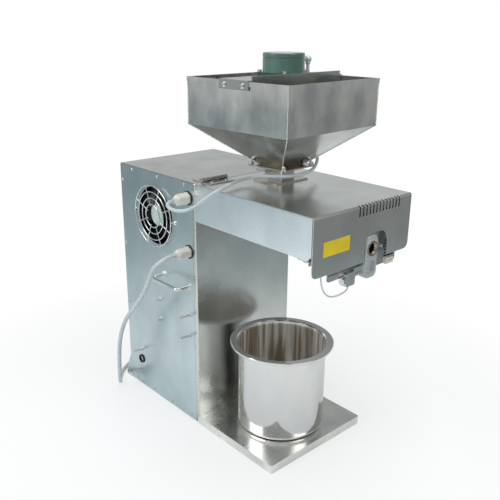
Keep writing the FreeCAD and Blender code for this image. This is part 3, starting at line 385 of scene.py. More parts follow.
@dataclass(frozen=True)
class HubDisc(Finish):
    """A plain pale paper disc on the fan's hub, faintly green toward one side."""

    centre: Point = FAN_CENTRE
    pale: Colour = (0.62, 0.70, 0.66)
    green: Colour = (0.20, 0.62, 0.46)
    green_span: Span = (0.004, 0.022)
    fibre_scale: float = 500.0

    def lay(self, on: Surface) -> None:
        """Lay the paper and its fade to green.

        Args:
            on: the surface that takes them.
        """
        x, _, z = on.axes(on.about(on.place, self.centre))
        fade = on.spread(on.math("SUBTRACT", x, z), self.green_span)
        fibre = on.grain(self.fibre_scale, 4.0)
        on.wear({"Base Color": on.tint(fade, self.pale, self.green),
                 "Roughness": on.spread(fibre, MIDDLE, (0.30, 0.45))})
        on.relief([(fibre, 0.1, 0.0001)])


FINISHES: dict[str, Finish] = {
    "side_sheet": SheetSteel((0.60, 0.69, 0.71), 0.28, Grain.ALONG_X, 0.02, 0.12, 7.0, 0.08, 0.04),
    "arm_sheet": SheetSteel((0.86, 0.93, 0.95), 0.26, Grain.ALONG_X, 0.02, 0.15, 9.0, 0.06, 0.03),
    "case_sheet": SheetSteel((0.66, 0.675, 0.655), 0.22, Grain.ALONG_Y, 0.03, 0.18, 8.0, 0.08, 0.04),
    "cover_sheet": SheetSteel((0.74, 0.76, 0.735), 0.20, Grain.ALONG_Y, 0.04, 0.12, 8.0, 0.06, 0.03),
    "base_sheet": SheetSteel((0.88, 0.89, 0.86), 0.23, Grain.ALONG_Y, 0.05, 0.12, 10.0, 0.10, 0.05),
    "bin_sheet": SheetSteel((0.85, 0.86, 0.86), 0.15, Grain.NONE, 0.03, 0.55, 14.0, 0.16, 0.12),
    "funnel_sheet": SheetSteel((0.60, 0.60, 0.59), 0.12, Grain.NONE, 0.03, 0.30, 14.0, 0.10, 0.10),
    "stand_plate": SheetSteel((0.56, 0.53, 0.49), 0.20, Grain.NONE, 0.05, 0.15, 20.0, 0.12, 0.10),
    # The motor bracket's steel is darker than the other sheets: partly its own darker steel and partly
    # painted shade for the dark reflections it shows.
    "dark_steel_and_painted_shade": SheetSteel((0.54, 0.57, 0.55), 0.20, Grain.ALONG_Y, 0.04, 0.12, 8.0, 0.06, 0.03),
    "pot_steel": PotSteel((0.74, 0.74, 0.73), 0.08, Grain.ALONG_Z, 0.03, 0.18, 11.0, 0.05, 0.02),
    "inner_plate": SheetSteel((0.50, 0.54, 0.53), 0.30, Grain.ALONG_Z, 0.06, 0.10, 9.0, 0.10, 0.05),
    "bright_wire": Machined((0.82, 0.83, 0.83), 0.14, 0.03),
    "bright_bolt": Machined((0.72, 0.72, 0.71), 0.22, 0.08),
    "dark_bolt": Machined((0.22, 0.22, 0.21), 0.35, 0.10),
    "hinge_steel": Machined((0.60, 0.59, 0.57), 0.20, 0.08),
    "tool_steel": Machined((0.46, 0.46, 0.45), 0.30, 0.10),
    "mica_band": Machined((0.50, 0.47, 0.42), 0.40, 0.15),
    "bronze": Machined((0.44, 0.37, 0.30), 0.24, 0.08),
    "cast_grey": Machined((0.66, 0.70, 0.71), 0.46, 0.35, 0.55, 420.0, 0.0008),
    "green_paint": Paint((0.066, 0.155, 0.125)),
    "green_dark": Paint((0.022, 0.060, 0.042), 0.30, 0.20),
    "grey_paint": Paint((0.20, 0.22, 0.23), 0.35, 0.15),
    "black_plastic": Moulded((0.012, 0.012, 0.013), 0.42),
    "black_rubber": Moulded((0.018, 0.018, 0.018), 0.60, 0.20),
    "cream_nylon": Moulded((0.80, 0.79, 0.73), 0.36, 0.06, 500.0, 0.15),
    "cord_grey": Moulded((0.58, 0.65, 0.67), 0.42, 0.08, 900.0),
    "cord_white": Moulded((0.68, 0.69, 0.69), 0.40, 0.08, 900.0),
    "yellow_film": Moulded((0.86, 0.66, 0.02), 0.34, 0.05, 300.0),
    "hub_disc": HubDisc(),
}


@cache
def material_of(finish: str) -> bpy.types.Material:
    """The material of a finish, made on first use.

    Args:
        finish: the finish's name.

    Returns:
        The material.
    """
    surface = Surface(finish)
    FINISHES[finish].lay(surface)
    return surface.material


def dress(finish: str, *nodes: str) -> None:
    """Give nodes of the frame a finish.

    Args:
        finish: the finish's name.
        nodes: the nodes' names.
    """
    for node in nodes:
        mesh = bpy.data.objects[node].data
        mesh.materials.clear()
        mesh.materials.append(material_of(finish))
        log.info("%s wears %s", node, finish)


def placed(name: str, data: bpy.types.ID) -> bpy.types.Object:
    """Put data into the scene as a new object.

    Args:
        name: the object's name.
        data: its mesh, curve, lamp or camera.

    Returns:
        The object.
    """
    item = bpy.data.objects.new(name, data)
    bpy.context.scene.collection.objects.link(item)
    return item


def solid(name: str, shape: Shape, material: bpy.types.Material) -> bpy.types.Object:
    """Turn a worked mesh into an object of the scene.

    Args:
        name: the object's name.
        shape: the mesh, in metres and in the frame's place.
        material: what it wears.

    Returns:
        The object.
    """
    mesh = bpy.data.meshes.new(name)
    shape.to_mesh(mesh)
    shape.free()
    mesh.materials.append(material)
    return placed(name, mesh)


def mesh_piece(name: str, shape: Shape, finish: str, body: Body = Body.HOUSING, smooth: float = 0.6) -> None:
    """Turn a mesh into a piece that rides on a body.

    Args:
        name: the piece's name.
        shape: the mesh.
        finish: the finish's name.
        body: the body that carries it.
        smooth: the angle in radians under which faces shade smoothly.
    """
    bmesh.ops.remove_doubles(shape, verts=shape.verts[:], dist=1e-6)
    bmesh.ops.recalc_face_normals(shape, faces=shape.faces[:])
    for face in shape.faces:
        face.smooth = True
    for edge in shape.edges:
        if len(edge.link_faces) == 2 and edge.calc_face_angle(0.0) > smooth:
            edge.smooth = False
    piece = solid(name, shape, material_of(finish))
    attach(piece, body.value)
    log.info("%s made, %d faces", name, len(piece.data.polygons))


def bridge(shape: Shape, rings: list[list[bmesh.types.BMVert]], steps: int) -> None:
    """Join each ring of corners to the next with faces.

    Args:
        shape: the mesh that the faces go into.
        rings: the rings in order, where a ring of one corner is a pole.
        steps: how many faces go round.
    """
    for low, high in zip(rings, rings[1:]):
        for step in range(steps):
            after = (step + 1) % steps
            turns = ((low, step), (low, after), (high, after), (high, step))
            unique = list(dict.fromkeys(ring[turn % len(ring)] for ring, turn in turns))
            if len(unique) > 2:
                shape.faces.new(unique)


def lathe(profile: list[Span], at: Point, way: Point, steps: int = 32) -> Shape:
    """Turn a profile about an axis.

    Args:
        profile: pairs of radius and distance along the axis.
        at: where the axis starts.
        way: the axis.
        steps: how many faces go round.

    Returns:
        The turned mesh.
    """
    shape = bmesh.new()
    place = Matrix.Translation(Vector(at)) @ Vector(way).to_track_quat("Z", "Y").to_matrix().to_4x4()
    angles = [2 * math.pi * step / steps for step in range(steps)]
    rings = []
    for radius, height in profile:
        around = angles if radius else [0.0]
        corners = [(radius * math.cos(angle), radius * math.sin(angle), height) for angle in around]
        rings.append([shape.verts.new(place @ Vector(corner)) for corner in corners])
    bridge(shape, rings, steps)
    return shape


def box_piece(name: str, boxes: list[tuple[Point, Point]], finish: str, body: Body = Body.HOUSING) -> None:
    """Make a piece of plain boxes.

    Args:
        name: the piece's name.
        boxes: the lowest and the highest corner of each box.
        finish: the finish's name.
        body: the body that carries it.
    """
    shape = bmesh.new()
    for low, high in boxes:
        middle = (Vector(low) + Vector(high)) / 2
        size = Vector(high) - Vector(low)
        for vert in bmesh.ops.create_cube(shape, size=1.0)["verts"]:
            vert.co = Vector(part * side for part, side in zip(vert.co, size)) + middle
    mesh_piece(name, shape, finish, body)


class Scatter:
    """A Geometry Nodes tree that sets one small shape on each point of a mesh, along the point's own aim."""

    def __init__(self, name: str, finish: str, **sizes: float) -> None:
        """Make the tree with its named inputs.

        Args:
            name: the tree's name.
            finish: the finish that the tree sets.
            sizes: names and values of the inputs.
        """
        self.tree = bpy.data.node_groups.new(name, "GeometryNodeTree")
        self.finish = finish
        self.values = {}
        face = self.tree.interface
        for way in ("INPUT", "OUTPUT"):
            face.new_socket("Geometry", in_out=way, socket_type="NodeSocketGeometry")
        for label, value in sizes.items():
            number = face.new_socket(label, in_out="INPUT", socket_type="NodeSocketFloat")
            self.values[number.identifier] = value
        self.nodes = Nodes(self.tree)
        self.source = self.nodes.add("NodeGroupInput")

    def share(self, label: str, factor: float = 1.0) -> Socket:
        """A share of a named input."""
        return self.nodes.math("MULTIPLY", self.source.outputs[label], factor)

    def tube(self, low: float, top: float, depth: Socket, lift: object, sides: int = 16) -> Socket:
        """A cone with its base lifted off the point, and its two radii as shares of Radius."""
        sizes = {"Radius Bottom": self.share("Radius", low), "Radius Top": self.share("Radius", top),
                 "Vertices": sides, "Depth": depth}
        return self.moved(self.nodes.add("GeometryNodeMeshCone", sizes), lift)

    def moved(self, shape: bpy.types.Node, lift: object, turn: float = 0.0) -> Socket:
        """The mesh of a node, lifted off its point and turned in radians about the aim."""
        place = {"Translation": self.nodes.add("ShaderNodeCombineXYZ", {"Z": lift}).outputs[0],
                 "Rotation": (0.0, 0.0, turn), "Geometry": shape.outputs["Mesh"]}
        return self.nodes.add("GeometryNodeTransform", place).outputs[0]

    def end(self, shapes: list[Socket]) -> "Scatter":
        """Set the shapes on the points and close the tree.

        Args:
            shapes: the geometry of one instance.

        Returns:
            The tree itself.
        """
        add = self.nodes.add
        whole = add("GeometryNodeJoinGeometry")
        for shape in shapes:
            self.nodes.feed(whole.inputs[0], shape)
        aim = add("GeometryNodeInputNamedAttribute", {"Name": "aim"}, data_type="FLOAT_VECTOR")
        along = add("FunctionNodeAlignRotationToVector", {"Vector": aim.outputs["Attribute"]}, axis="Z")
        points = self.source.outputs["Geometry"]
        place = add("GeometryNodeInstanceOnPoints", {"Points": points, "Instance": whole.outputs[0],
                                                     "Rotation": along.outputs[0]})
        real = add("GeometryNodeRealizeInstances", {0: place.outputs[0]}).outputs[0]
        paint = add("GeometryNodeSetMaterial", {"Geometry": real, "Material": material_of(self.finish)})
        add("NodeGroupOutput", {"Geometry": paint.outputs[0]})
        return self

    def piece(self, name: str, points: list[Point], aims: list[Point], body: Body = Body.HOUSING,
              stands_for: tuple[str, ...] = (), smooth: bool = False) -> None:
        """Run the tree on a list of points and keep the plain mesh.

        Args:
            name: the piece's name.
            points: where the shapes stand.
            aims: the way that each one faces.
            body: the body that carries them.
            stands_for: nodes that the piece replaces.
            smooth: whether the faces shade smoothly.
        """
        mesh = bpy.data.meshes.new(name + "_points")
        mesh.from_pydata(points, [], [])
        aim = mesh.attributes.new("aim", "FLOAT_VECTOR", "POINT")
        for index, way in enumerate(aims):
            aim.data[index].vector = way
        holder = placed(name + "_points", mesh)
        modifier = holder.modifiers.new("scatter", "NODES")
        modifier.node_group = self.tree
        for identifier, value in self.values.items():
            modifier[identifier] = value
        graph = bpy.context.evaluated_depsgraph_get()
        result = bpy.data.meshes.new_from_object(holder.evaluated_get(graph), depsgraph=graph)
        holder.modifiers.remove(modifier)
        bpy.data.objects.remove(holder)
        result.name = name
        for polygon in result.polygons:
            polygon.use_smooth = smooth
        result.materials.clear()
        result.materials.append(material_of(self.finish))
        piece = placed(name, result)
        if stands_for:
            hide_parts(*stands_for)
        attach(piece, body.value)
        log.info("%s scattered on %d points", name, len(points))


def pan_heads(radius: float, height: float) -> Scatter:
    """A tree of pan-head screws, each a skirt, a dome and a crown.

    Args:
        radius: a head's radius.
        height: a head's height.

    Returns:
        The tree.
    """
    tree = Scatter("panel_head_tree", "bright_bolt", Radius=radius, Height=height)
    steps = ((1.0, 1.0, 0.55, 0.0), (1.0, 0.80, 0.30, 0.55), (0.80, 0.50, 0.15, 0.85))
    return tree.end([tree.tube(low, top, tree.share("Height", depth), tree.share("Height", lift))
                     for low, top, depth, lift in steps])


def cross_slots(radius: float, height: float) -> Scatter:
    """A tree of the dark crosses in screw heads.

    Args:
        radius: the heads' radius.
        height: the heads' height.

    Returns:
        The tree.
    """
    tree = Scatter("panel_cross_tree", "dark_bolt", Radius=radius, Height=height)
    sides = {0: tree.share("Radius", 0.95), 1: tree.share("Radius", 0.24), 2: tree.share("Height", 0.1)}
    size = tree.nodes.add("ShaderNodeCombineXYZ", sides).outputs[0]
    bar = tree.nodes.add("GeometryNodeMeshCube", {"Size": size})
    lift, slant = tree.share("Height", 0.97), 0.4
    return tree.end([tree.moved(bar, lift, angle) for angle in (slant, slant + math.pi / 2)])


def thread_rings(radius: float, pitch: float) -> Scatter:
    """A tree of thread crests, one on each point.

    Args:
        radius: the rod's radius.
        pitch: the thread's pitch.

    Returns:
        The tree.
    """
    tree = Scatter("stud_thread_tree", "bright_bolt", Radius=radius, Pitch=pitch)
    root, crest, rise = 0.98, 1.10, tree.share("Pitch", 0.40)
    return tree.end([tree.tube(root, crest, rise, 0.0, 14), tree.tube(crest, root, rise, rise, 14)])


def weld_beads(radius: float) -> Scatter:
    """A tree of round weld beads, one on each point.

    Args:
        radius: a bead's radius.

    Returns:
        The tree.
    """
    tree = Scatter("weld_tree", "bright_bolt", Radius=radius)
    ball = tree.nodes.add("GeometryNodeMeshIcoSphere", {"Subdivisions": 2, "Radius": tree.share("Radius")})
    return tree.end([ball.outputs["Mesh"]])


@dataclass(frozen=True)
class Lamp:
    """A soft square lamp, with its side in metres and its power in watts."""

    name: str
    at: Point
    side: float
    power: float
    colour: Colour

    def hang(self, aim: Point) -> None:
        """Put the lamp into the scene.

        Args:
            aim: the point that it faces.
        """
        data = bpy.data.lights.new(self.name, "AREA")
        data.shape = "SQUARE"
        data.size = self.side
        data.energy = self.power
        data.color = self.colour
        lamp = placed(self.name, data)
        lamp.location = self.at
        lamp.rotation_mode = "QUATERNION"
        lamp.rotation_quaternion = (Vector(aim) - Vector(self.at)).to_track_quat("-Z", "Y")


@dataclass
class Studio:
    """The pale floor with its painted shade, the soft lights and the camera at the photograph's place."""

    eye: Point = (0.767212, -0.662950, 0.625511)
    right: Point = (0.66854036, 0.74362138, 0.00900175)
    up: Point = (-0.24870932, 0.21215776, 0.94505702)
    back: Point = (0.70085481, -0.63404757, 0.32678159)
    lens: float = 47.12
    clip: Span = (0.05, 40.0)
    floor_x: Span = (-3.2, 0.80)
    floor_y: Span = (-3.2, 3.2)
    # Painted shade on the floor: its colour darkens from paper_pale toward the darker paper colour behind the
    # press (-X) and toward the front right, for the metal to reflect.
    paper_painted_shade: Colour = (0.34, 0.40, 0.42)
    paper_pale: Colour = (0.88, 0.90, 0.91)
    fibre_scale: float = 60.0
    fibre_tone: Span = (0.97, 1.0)
    shade_fade_x: Span = (-1.00, -0.20)
    ahead: Point = (0.75, 0.66, 0.0)
    front_shade_span: Span = (0.35, 0.65)
    front_shade_tone: Span = (1.0, 0.05)
    white_reach: Span = (0.18, 0.62)
    white_share: Span = (0.62, 1.0)
    room_heights: tuple[Span, ...] = ((0.0, 0.30), (0.42, 0.34), (0.52, 0.62), (0.63, 0.60), (0.72, 0.30),
                                      (0.84, 0.30), (0.93, 0.80), (1.0, 0.95))
    room_front: Point = (0.80, 0.60, 0.0)
    front_span: Span = (0.35, 0.90)
    front_light: Span = (1.0, 0.66)
    centre: Point = (0.03, 0.0, 0.25)
    lamps: tuple[Lamp, ...] = (
        Lamp("key", (-0.5, -1.7, 1.5), 1.2, 16.0, (0.95, 0.98, 1.0)),
        Lamp("top", (0.1, 0.1, 1.9), 1.0, 9.0, (1.0, 1.0, 1.0)),
        Lamp("front", (1.6, 0.3, 1.1), 0.9, 6.0, (1.0, 0.98, 0.95)))

    def camera(self) -> None:
        """Set the camera at the photograph's place, aim and lens."""
        data = bpy.data.cameras.new("camera")
        data.lens = self.lens
        data.clip_start, data.clip_end = self.clip
        camera = placed("camera", data)
        turn = Matrix((self.right, self.up, self.back)).transposed().to_4x4()
        camera.matrix_world = Matrix.Translation(Vector(self.eye)) @ turn
        bpy.context.scene.camera = camera

    def floor(self) -> None:
        """Lay the pale floor, painted darker toward -X and the front right as shade for the metal to reflect,
        and fading to white far from the press.
        """
        shape = bmesh.new()
        (x0, x1), (y0, y1) = self.floor_x, self.floor_y
        shape.faces.new([shape.verts.new((x, y, 0.0)) for x, y in ((x0, y0), (x1, y0), (x1, y1), (x0, y1))])
        material = bpy.data.materials.new("floor_paper")
        nodes = fresh_nodes(material)
        place = nodes.add("ShaderNodeTexCoord").outputs["Object"]
        fibre = nodes.spread(nodes.noise(place, self.fibre_scale, 4.0), MIDDLE, self.fibre_tone)
        # Painted shade: the paper darkens toward -X and toward the front right, where the metal reflects the
        # floor.
        pale = nodes.math("MULTIPLY", fibre, nodes.spread(nodes.axes(place)[0], self.shade_fade_x))
        ahead = nodes.spread(nodes.vector("DOT_PRODUCT", place, self.ahead), self.front_shade_span, self.front_shade_tone)
        tone = nodes.tint(nodes.math("MULTIPLY", pale, ahead), self.paper_painted_shade, self.paper_pale)
        paper = nodes.add("ShaderNodeBsdfDiffuse", {"Color": tone})
        white = nodes.add("ShaderNodeEmission", {"Strength": 1.0})
        seen = nodes.add("ShaderNodeLightPath").outputs["Is Camera Ray"]
        far = nodes.spread(nodes.vector("LENGTH", place), self.white_reach, self.white_share)
        fade = nodes.math("MULTIPLY", far, seen)
        nodes.add("ShaderNodeOutputMaterial", {"Surface": nodes.blend(fade, paper, white)})
        floor = solid("floor", shape, material)

    def room(self) -> None:
        """Make the soft room: white for the camera, else bright level and overhead, and dimmer ahead."""
        world = bpy.data.worlds.new("room")
        nodes = fresh_nodes(world)
        way = nodes.add("ShaderNodeTexCoord").outputs["Generated"]
        height = nodes.add("ShaderNodeValToRGB", {0: nodes.spread(nodes.axes(way)[2], (-1.0, 1.0))})
        steps = height.color_ramp.elements
        while len(steps) < len(self.room_heights):
            steps.new(0.5)
        for step, (position, value) in zip(steps, self.room_heights):
            step.position = position
            step.color = (value * 0.97, value, value * 1.01, 1.0)
        ahead = nodes.vector("DOT_PRODUCT", way, self.room_front)
        dim = nodes.spread(ahead, self.front_span, self.front_light)
        light = nodes.add("ShaderNodeBackground", {"Color": height.outputs[0], "Strength": dim})
        white = nodes.add("ShaderNodeBackground", {"Color": (1.0, 1.0, 1.0, 1.0)})
        seen = nodes.add("ShaderNodeLightPath").outputs["Is Camera Ray"]
        nodes.add("ShaderNodeOutputWorld", {"Surface": nodes.blend(seen, light, white)})
        bpy.context.scene.world = world

    def build(self) -> None:
        """Set up camera, floor, room and lamps."""
        self.camera()
        self.floor()
        self.room()
        for lamp in self.lamps:
            lamp.hang(self.centre)
        bpy.context.scene.view_settings.view_transform = "Standard"


@dataclass
class Cords:
    """The mains lead with its put-away coil and plug, the hopper's lead and the sensor's thin lead."""

    mains_diameter: float = 0.007
    lead_diameter: float = 0.005
    sensor_diameter: float = 0.0022
    sheath_sides: int = 14
    coil_centre: Span = (-0.280, 0.062)
    coil_outer: float = 0.043
    coil_inner: float = 0.029
    coil_turns: int = 2
    turn_points: int = 14
    climb_early: int = 4
    climb_steps: int = 5
    floor_z: float = 0.0036
    mains_route: tuple[Point, ...] = (
        (0.0065, -0.1250, 0.2960), (0.0065, -0.1348, 0.2960), (0.0050, -0.1440, 0.2934),
        (0.0020, -0.1517, 0.2885), (-0.0023, -0.1572, 0.2819), (-0.0073, -0.1598, 0.2738),
        (-0.0126, -0.1596, 0.2654), (-0.0220, -0.1582, 0.2500), (-0.0340, -0.1562, 0.2345),
        (-0.0540, -0.1538, 0.2120), (-0.0780, -0.1510, 0.1890), (-0.1010, -0.1480, 0.1670),
        (-0.1190, -0.1460, 0.1465), (-0.1360, -0.1440, 0.1180), (-0.1470, -0.1420, 0.0900),
        (-0.1525, -0.1405, 0.0640), (-0.1540, -0.1402, 0.0440), (-0.1546, -0.1400, 0.0310),
        (-0.1571, -0.1386, 0.0210), (-0.1621, -0.1358, 0.0126), (-0.1690, -0.1318, 0.0067),
        (-0.1772, -0.1272, 0.0036), (-0.1880, -0.1204, 0.0036), (-0.2060, -0.1040, 0.0036),
        (-0.2220, -0.0800, 0.0036), (-0.2305, -0.0500, 0.0036), (-0.2350, -0.0190, 0.0036),
        (-0.2367, 0.0120, 0.0036), (-0.2370, 0.0420, 0.0036))
    lead_route: tuple[Point, ...] = (
        (0.0065, -0.1250, 0.3805), (0.0065, -0.1320, 0.3805), (0.0098, -0.1390, 0.3792),
        (0.0158, -0.1436, 0.3778), (0.0240, -0.1450, 0.3760), (0.0340, -0.1430, 0.3744),
        (0.0450, -0.1385, 0.3752), (0.0560, -0.1335, 0.3795), (0.0680, -0.1290, 0.3875),
        (0.0790, -0.1230, 0.3980), (0.0850, -0.1080, 0.4075), (0.0820, -0.0840, 0.4115),
        (0.0710, -0.0580, 0.4120), (0.0700, -0.0340, 0.4130), (0.0860, -0.0220, 0.4160),
        (0.1080, -0.0180, 0.4185), (0.1250, -0.0040, 0.4200), (0.1265, 0.0180, 0.4205),
        (0.1210, 0.0380, 0.4205), (0.1140, 0.0560, 0.4220), (0.1030, 0.0740, 0.4275),
        (0.0880, 0.0910, 0.4310), (0.0700, 0.1080, 0.4330), (0.0500, 0.1220, 0.4410),
        (0.0330, 0.1270, 0.4610), (0.0240, 0.1270, 0.4900), (0.0180, 0.1250, 0.5220),
        (0.0150, 0.1220, 0.5480), (0.0180, 0.1140, 0.5600), (0.0300, 0.1040, 0.5630),
        (0.0460, 0.0950, 0.5622), (0.0610, 0.0845, 0.5602), (0.0735, 0.0748, 0.5589),
        (0.0810, 0.0688, 0.5604), (0.0835, 0.0665, 0.5652), (0.0835, 0.0665, 0.5705))
    sensor_route: tuple[Point, ...] = (
        (0.2540, -0.0220, 0.2970), (0.2540, -0.0220, 0.2930), (0.2540, -0.0255, 0.2895),
        (0.2540, -0.0330, 0.2878), (0.2540, -0.0450, 0.2874), (0.2540, -0.0570, 0.2892),
        (0.2540, -0.0670, 0.2955), (0.2540, -0.0740, 0.3055), (0.2540, -0.0774, 0.3190),
        (0.2532, -0.0770, 0.3340), (0.2532, -0.0770, 0.3470))
    plug_route: tuple[Point, ...] = (
        (0.0425, 0.0120, 0.0118), (0.0400, 0.0225, 0.0150), (0.0345, 0.0315, 0.0195),
        (0.0265, 0.0355, 0.0240), (0.0180, 0.0360, 0.0266), (0.0120, 0.0360, 0.0266))

    def spline(self, name: str, points: list[Point], diameter: float) -> bpy.types.Object:
        """Make a smooth round cord along its route.

        Args:
            name: the piece's name.
            points: the route, in metres.
            diameter: the cord's diameter.

        Returns:
            The curve.
        """
        curve = bpy.data.curves.new(name, "CURVE")
        curve.dimensions = "3D"
        line = curve.splines.new("NURBS")
        line.points.add(len(points) - 1)
        for index, point in enumerate(points):
            line.points[index].co = (*point, 1.0)
        line.order_u = 3
        line.use_endpoint_u = True
        line.resolution_u = 8
        curve.bevel_depth = diameter / 2
        curve.bevel_resolution = 4
        curve.use_fill_caps = True
        return placed(name, curve)

    def mains_points(self) -> list[Point]:
        """The mains lead's route, with two layers of turns in the coil and the rise into the plug.

        Returns:
            The points in order, where plug_route counts X and Y from the coil's centre.
        """
        points = list(self.mains_route)
        x, y = self.coil_centre
        per_layer = self.coil_turns * self.turn_points
        for step in range(1, 2 * per_layer + 1):
            angle = 2 * math.pi * step / self.turn_points
            share = min(step / per_layer, 2.0 - step / per_layer)
            radius = self.coil_outer + (self.coil_inner - self.coil_outer) * share
            climb = min(1.0, max(0.0, (step - per_layer + self.climb_early) / self.climb_steps))
            points.append((x + radius * math.cos(angle), y + radius * math.sin(angle),
                           self.floor_z + self.mains_diameter * climb))
        return points + [(x + dx, y + dy, z) for dx, dy, z in self.plug_route]

    def line_of(self, points: list[Point]) -> list[Point]:
        """Follow the smooth line that a route gives.

        Args:
            points: the route.

        Returns:
            Points on the line, in order.
        """
        probe = self.spline("probe", points, 0.0)
        probe.data.use_fill_caps = False
        graph = bpy.context.evaluated_depsgraph_get()
        mesh = bpy.data.meshes.new_from_object(probe.evaluated_get(graph), depsgraph=graph)
        line = [tuple(vertex.co) for vertex in mesh.vertices]
        bpy.data.meshes.remove(mesh)
        bpy.data.objects.remove(probe)
        return line

    def sheath(self, line: list[Point]) -> bpy.types.Object:
        """A mesh tube round the hopper lead's smooth line, because that cord crosses a joint.

        Args:
            line: points of the smooth line.

        Returns:
            The tube.
        """
        shape = bmesh.new()
        points = [Vector(p) for p in line]
        angles = [2 * math.pi * step / self.sheath_sides for step in range(self.sheath_sides)]
        rings = []
        across = Vector((0.0, 0.0, 1.0))
        for index, point in enumerate(points):
            ahead = (points[min(index + 1, len(points) - 1)] - points[max(index - 1, 0)]).normalized()
            across = (across - ahead * across.dot(ahead)).normalized()
            other = ahead.cross(across)
            ways = [across * math.cos(angle) + other * math.sin(angle) for angle in angles]
            rings.append([shape.verts.new(point + way * self.lead_diameter / 2) for way in ways])
        bridge(shape, rings, self.sheath_sides)
        shape.faces.new(rings[0][::-1])
        shape.faces.new(rings[-1])
        bmesh.ops.recalc_face_normals(shape, faces=shape.faces[:])
        for face in shape.faces:
            face.smooth = len(face.verts) == 4
        return solid("hopper_lead_sheath", shape, material_of("cord_grey"))

    def build(self) -> None:
        mains = self.mains_points()
        line = self.line_of(mains)
        log.info("mains lead %.3f m", sum(math.dist(a, b) for a, b in zip(line, line[1:])))
        piece = self.spline("mains_lead", mains, self.mains_diameter)
        piece.data.materials.append(material_of("cord_grey"))
        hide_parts("mains_cord", "mains_coil")
        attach(piece, Body.HOUSING.value)
        line = self.line_of(list(self.lead_route))
        lead = self.sheath(line)
        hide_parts("hopper_lead")
        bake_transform(lead)
        sensor = self.spline("sensor_wire", list(self.sensor_route), self.sensor_diameter)
        sensor.data.materials.append(material_of("cord_white"))
        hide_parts("sensor_lead")
        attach(sensor, Body.HOUSING.value)


@dataclass
class Tower:
    """The drive case with its panels, screws, studs, handle and glands."""

    half: float = 0.100
    screw_radius: float = 0.0026
    screw_height: float = 0.0018
    top_row: tuple[float, ...] = (-0.1455, -0.0733, -0.0030)
    top_z: float = 0.3985
    bottom_row: tuple[float, ...] = (-0.1590, -0.1040, -0.0495, 0.0040)
    bottom_z: float = 0.008
    back_row: tuple[float, ...] = (0.3770, 0.2656, 0.1540)
    back_x: float = -0.175
    stud_rows: tuple[Point, ...] = (
        (-0.0780, 0.1895, 0.0070), (-0.0780, 0.1540, 0.0070), (0.0034, 0.1895, 0.0190),
        (0.0034, 0.1540, 0.0190), (-0.1420, 0.0730, 0.0190), (-0.1420, 0.0330, 0.0190))
    stud_radius: float = 0.0020
    stud_nut: float = 0.0036
    thread_short: float = 0.0046
    thread_pitch: float = 0.0010
    gland_x: float = 0.0065
    gland_heights: Span = (0.3805, 0.2960)
    seal_profile: tuple[Span, ...] = ((0.0088, 0.0), (0.0108, 0.0), (0.0108, 0.0012), (0.0102, 0.0016),
                                      (0.0088, 0.0016), (0.0088, 0.0))
    # Painted shadow: the black rubber ring between the corner studs stands where a hole's shadow falls.
    ring_place: Span = (-0.142, 0.053)
    ring_radius: float = 0.0065
    ring_wire: float = 0.0012
    ring_steps: int = 16

    def screws(self) -> None:
        """Replace the plain panel screws with pan heads and their crosses."""
        spots = [(x, self.top_z) for x in self.top_row] + [(x, self.bottom_z) for x in self.bottom_row]
        spots += [(self.back_x, z) for z in self.back_row]
        points = [(x, side * self.half, z) for side in (-1.0, 1.0) for x, z in spots]
        aims = [(0.0, side, 0.0) for side in (-1.0, 1.0) for _ in spots]
        heads = pan_heads(self.screw_radius, self.screw_height)
        heads.piece("panel_screw_heads", points, aims, stands_for=("panel_screws",))
        slots = cross_slots(self.screw_radius, self.screw_height)
        slots.piece("panel_screw_crosses", points, aims)

    def threads(self) -> None:
        """Put thread crests on the studs, each given by X, Z and how far it stands out of the side."""
        points = []
        for x, z, reach in self.stud_rows:
            start = -self.half - self.stud_nut
            count = int((reach - self.thread_short) / self.thread_pitch)
            points += [(x, start - index * self.thread_pitch, z) for index in range(count)]
        tree = thread_rings(self.stud_radius, self.thread_pitch)
        tree.piece("stud_threads", points, [(0.0, -1.0, 0.0)] * len(points))

    def gland_seals(self) -> None:
        """Put the dark seal ring behind each gland."""
        for index, z in enumerate(self.gland_heights):
            ring = lathe(self.seal_profile, (self.gland_x, -self.half, z), (0, -1, 0), 40)
            mesh_piece(f"gland_seal_{index}", ring, "black_rubber")

    def corner_shadow_ring(self) -> None:
        """Put a black rubber ring between the corner studs: a painted shadow of a hole."""
        angles = [2 * math.pi * step / self.ring_steps for step in range(self.ring_steps + 1)]
        thick = self.ring_wire
        wire = [(self.ring_radius + thick * math.cos(a), thick + thick * math.sin(a)) for a in angles]
        ring = lathe(wire, (self.ring_place[0], -self.half, self.ring_place[1]), (0, -1, 0))
        mesh_piece("corner_shadow_ring", ring, "black_rubber", smooth=ALL_SMOOTH)

    def build(self) -> None:
        """Dress the case and add its small pieces."""
        dress("case_sheet", "case_shell")
        dress("side_sheet", "fan_side_panel", "far_side_panel", "rear_corner_brackets")
        dress("base_sheet", "base_plate")
        dress("bright_wire", "side_handle")
        dress("bright_bolt", "mount_studs")
        dress("black_plastic", "control_box")
        dress("cream_nylon", "mains_gland", "lead_gland")
        dress("grey_paint", "gearbox", "drive_motor")
        dress("tool_steel", "motor_rotor")
        dress("black_rubber", "mains_plug")
        self.screws()
        self.threads()
        self.gland_seals()
        self.corner_shadow_ring()


@dataclass
class Fan:
    """The side fan with its black frame, impeller, wire guard and plain hub disc."""

    disc_radius: float = 0.0172
    disc_height: float = 0.00025
    hub_face: float = -0.0958

    def hub_disc(self) -> None:
        """Set the plain pale disc on the hub's face."""
        radius, height = self.disc_radius, self.disc_height
        disc = lathe([(0.0, 0.0), (radius, 0.0), (radius, height), (0.0, height)],
                     (FAN_CENTRE[0], self.hub_face, FAN_CENTRE[2]), (0, -1, 0), 48)
        mesh_piece("hub_disc", disc, "hub_disc", Body.IMPELLER)

    def build(self) -> None:
        """Dress the fan and add its disc."""
        dress("black_plastic", "fan_frame", "fan_impeller")
        dress("bright_wire", "fan_guard")
        self.hub_disc()


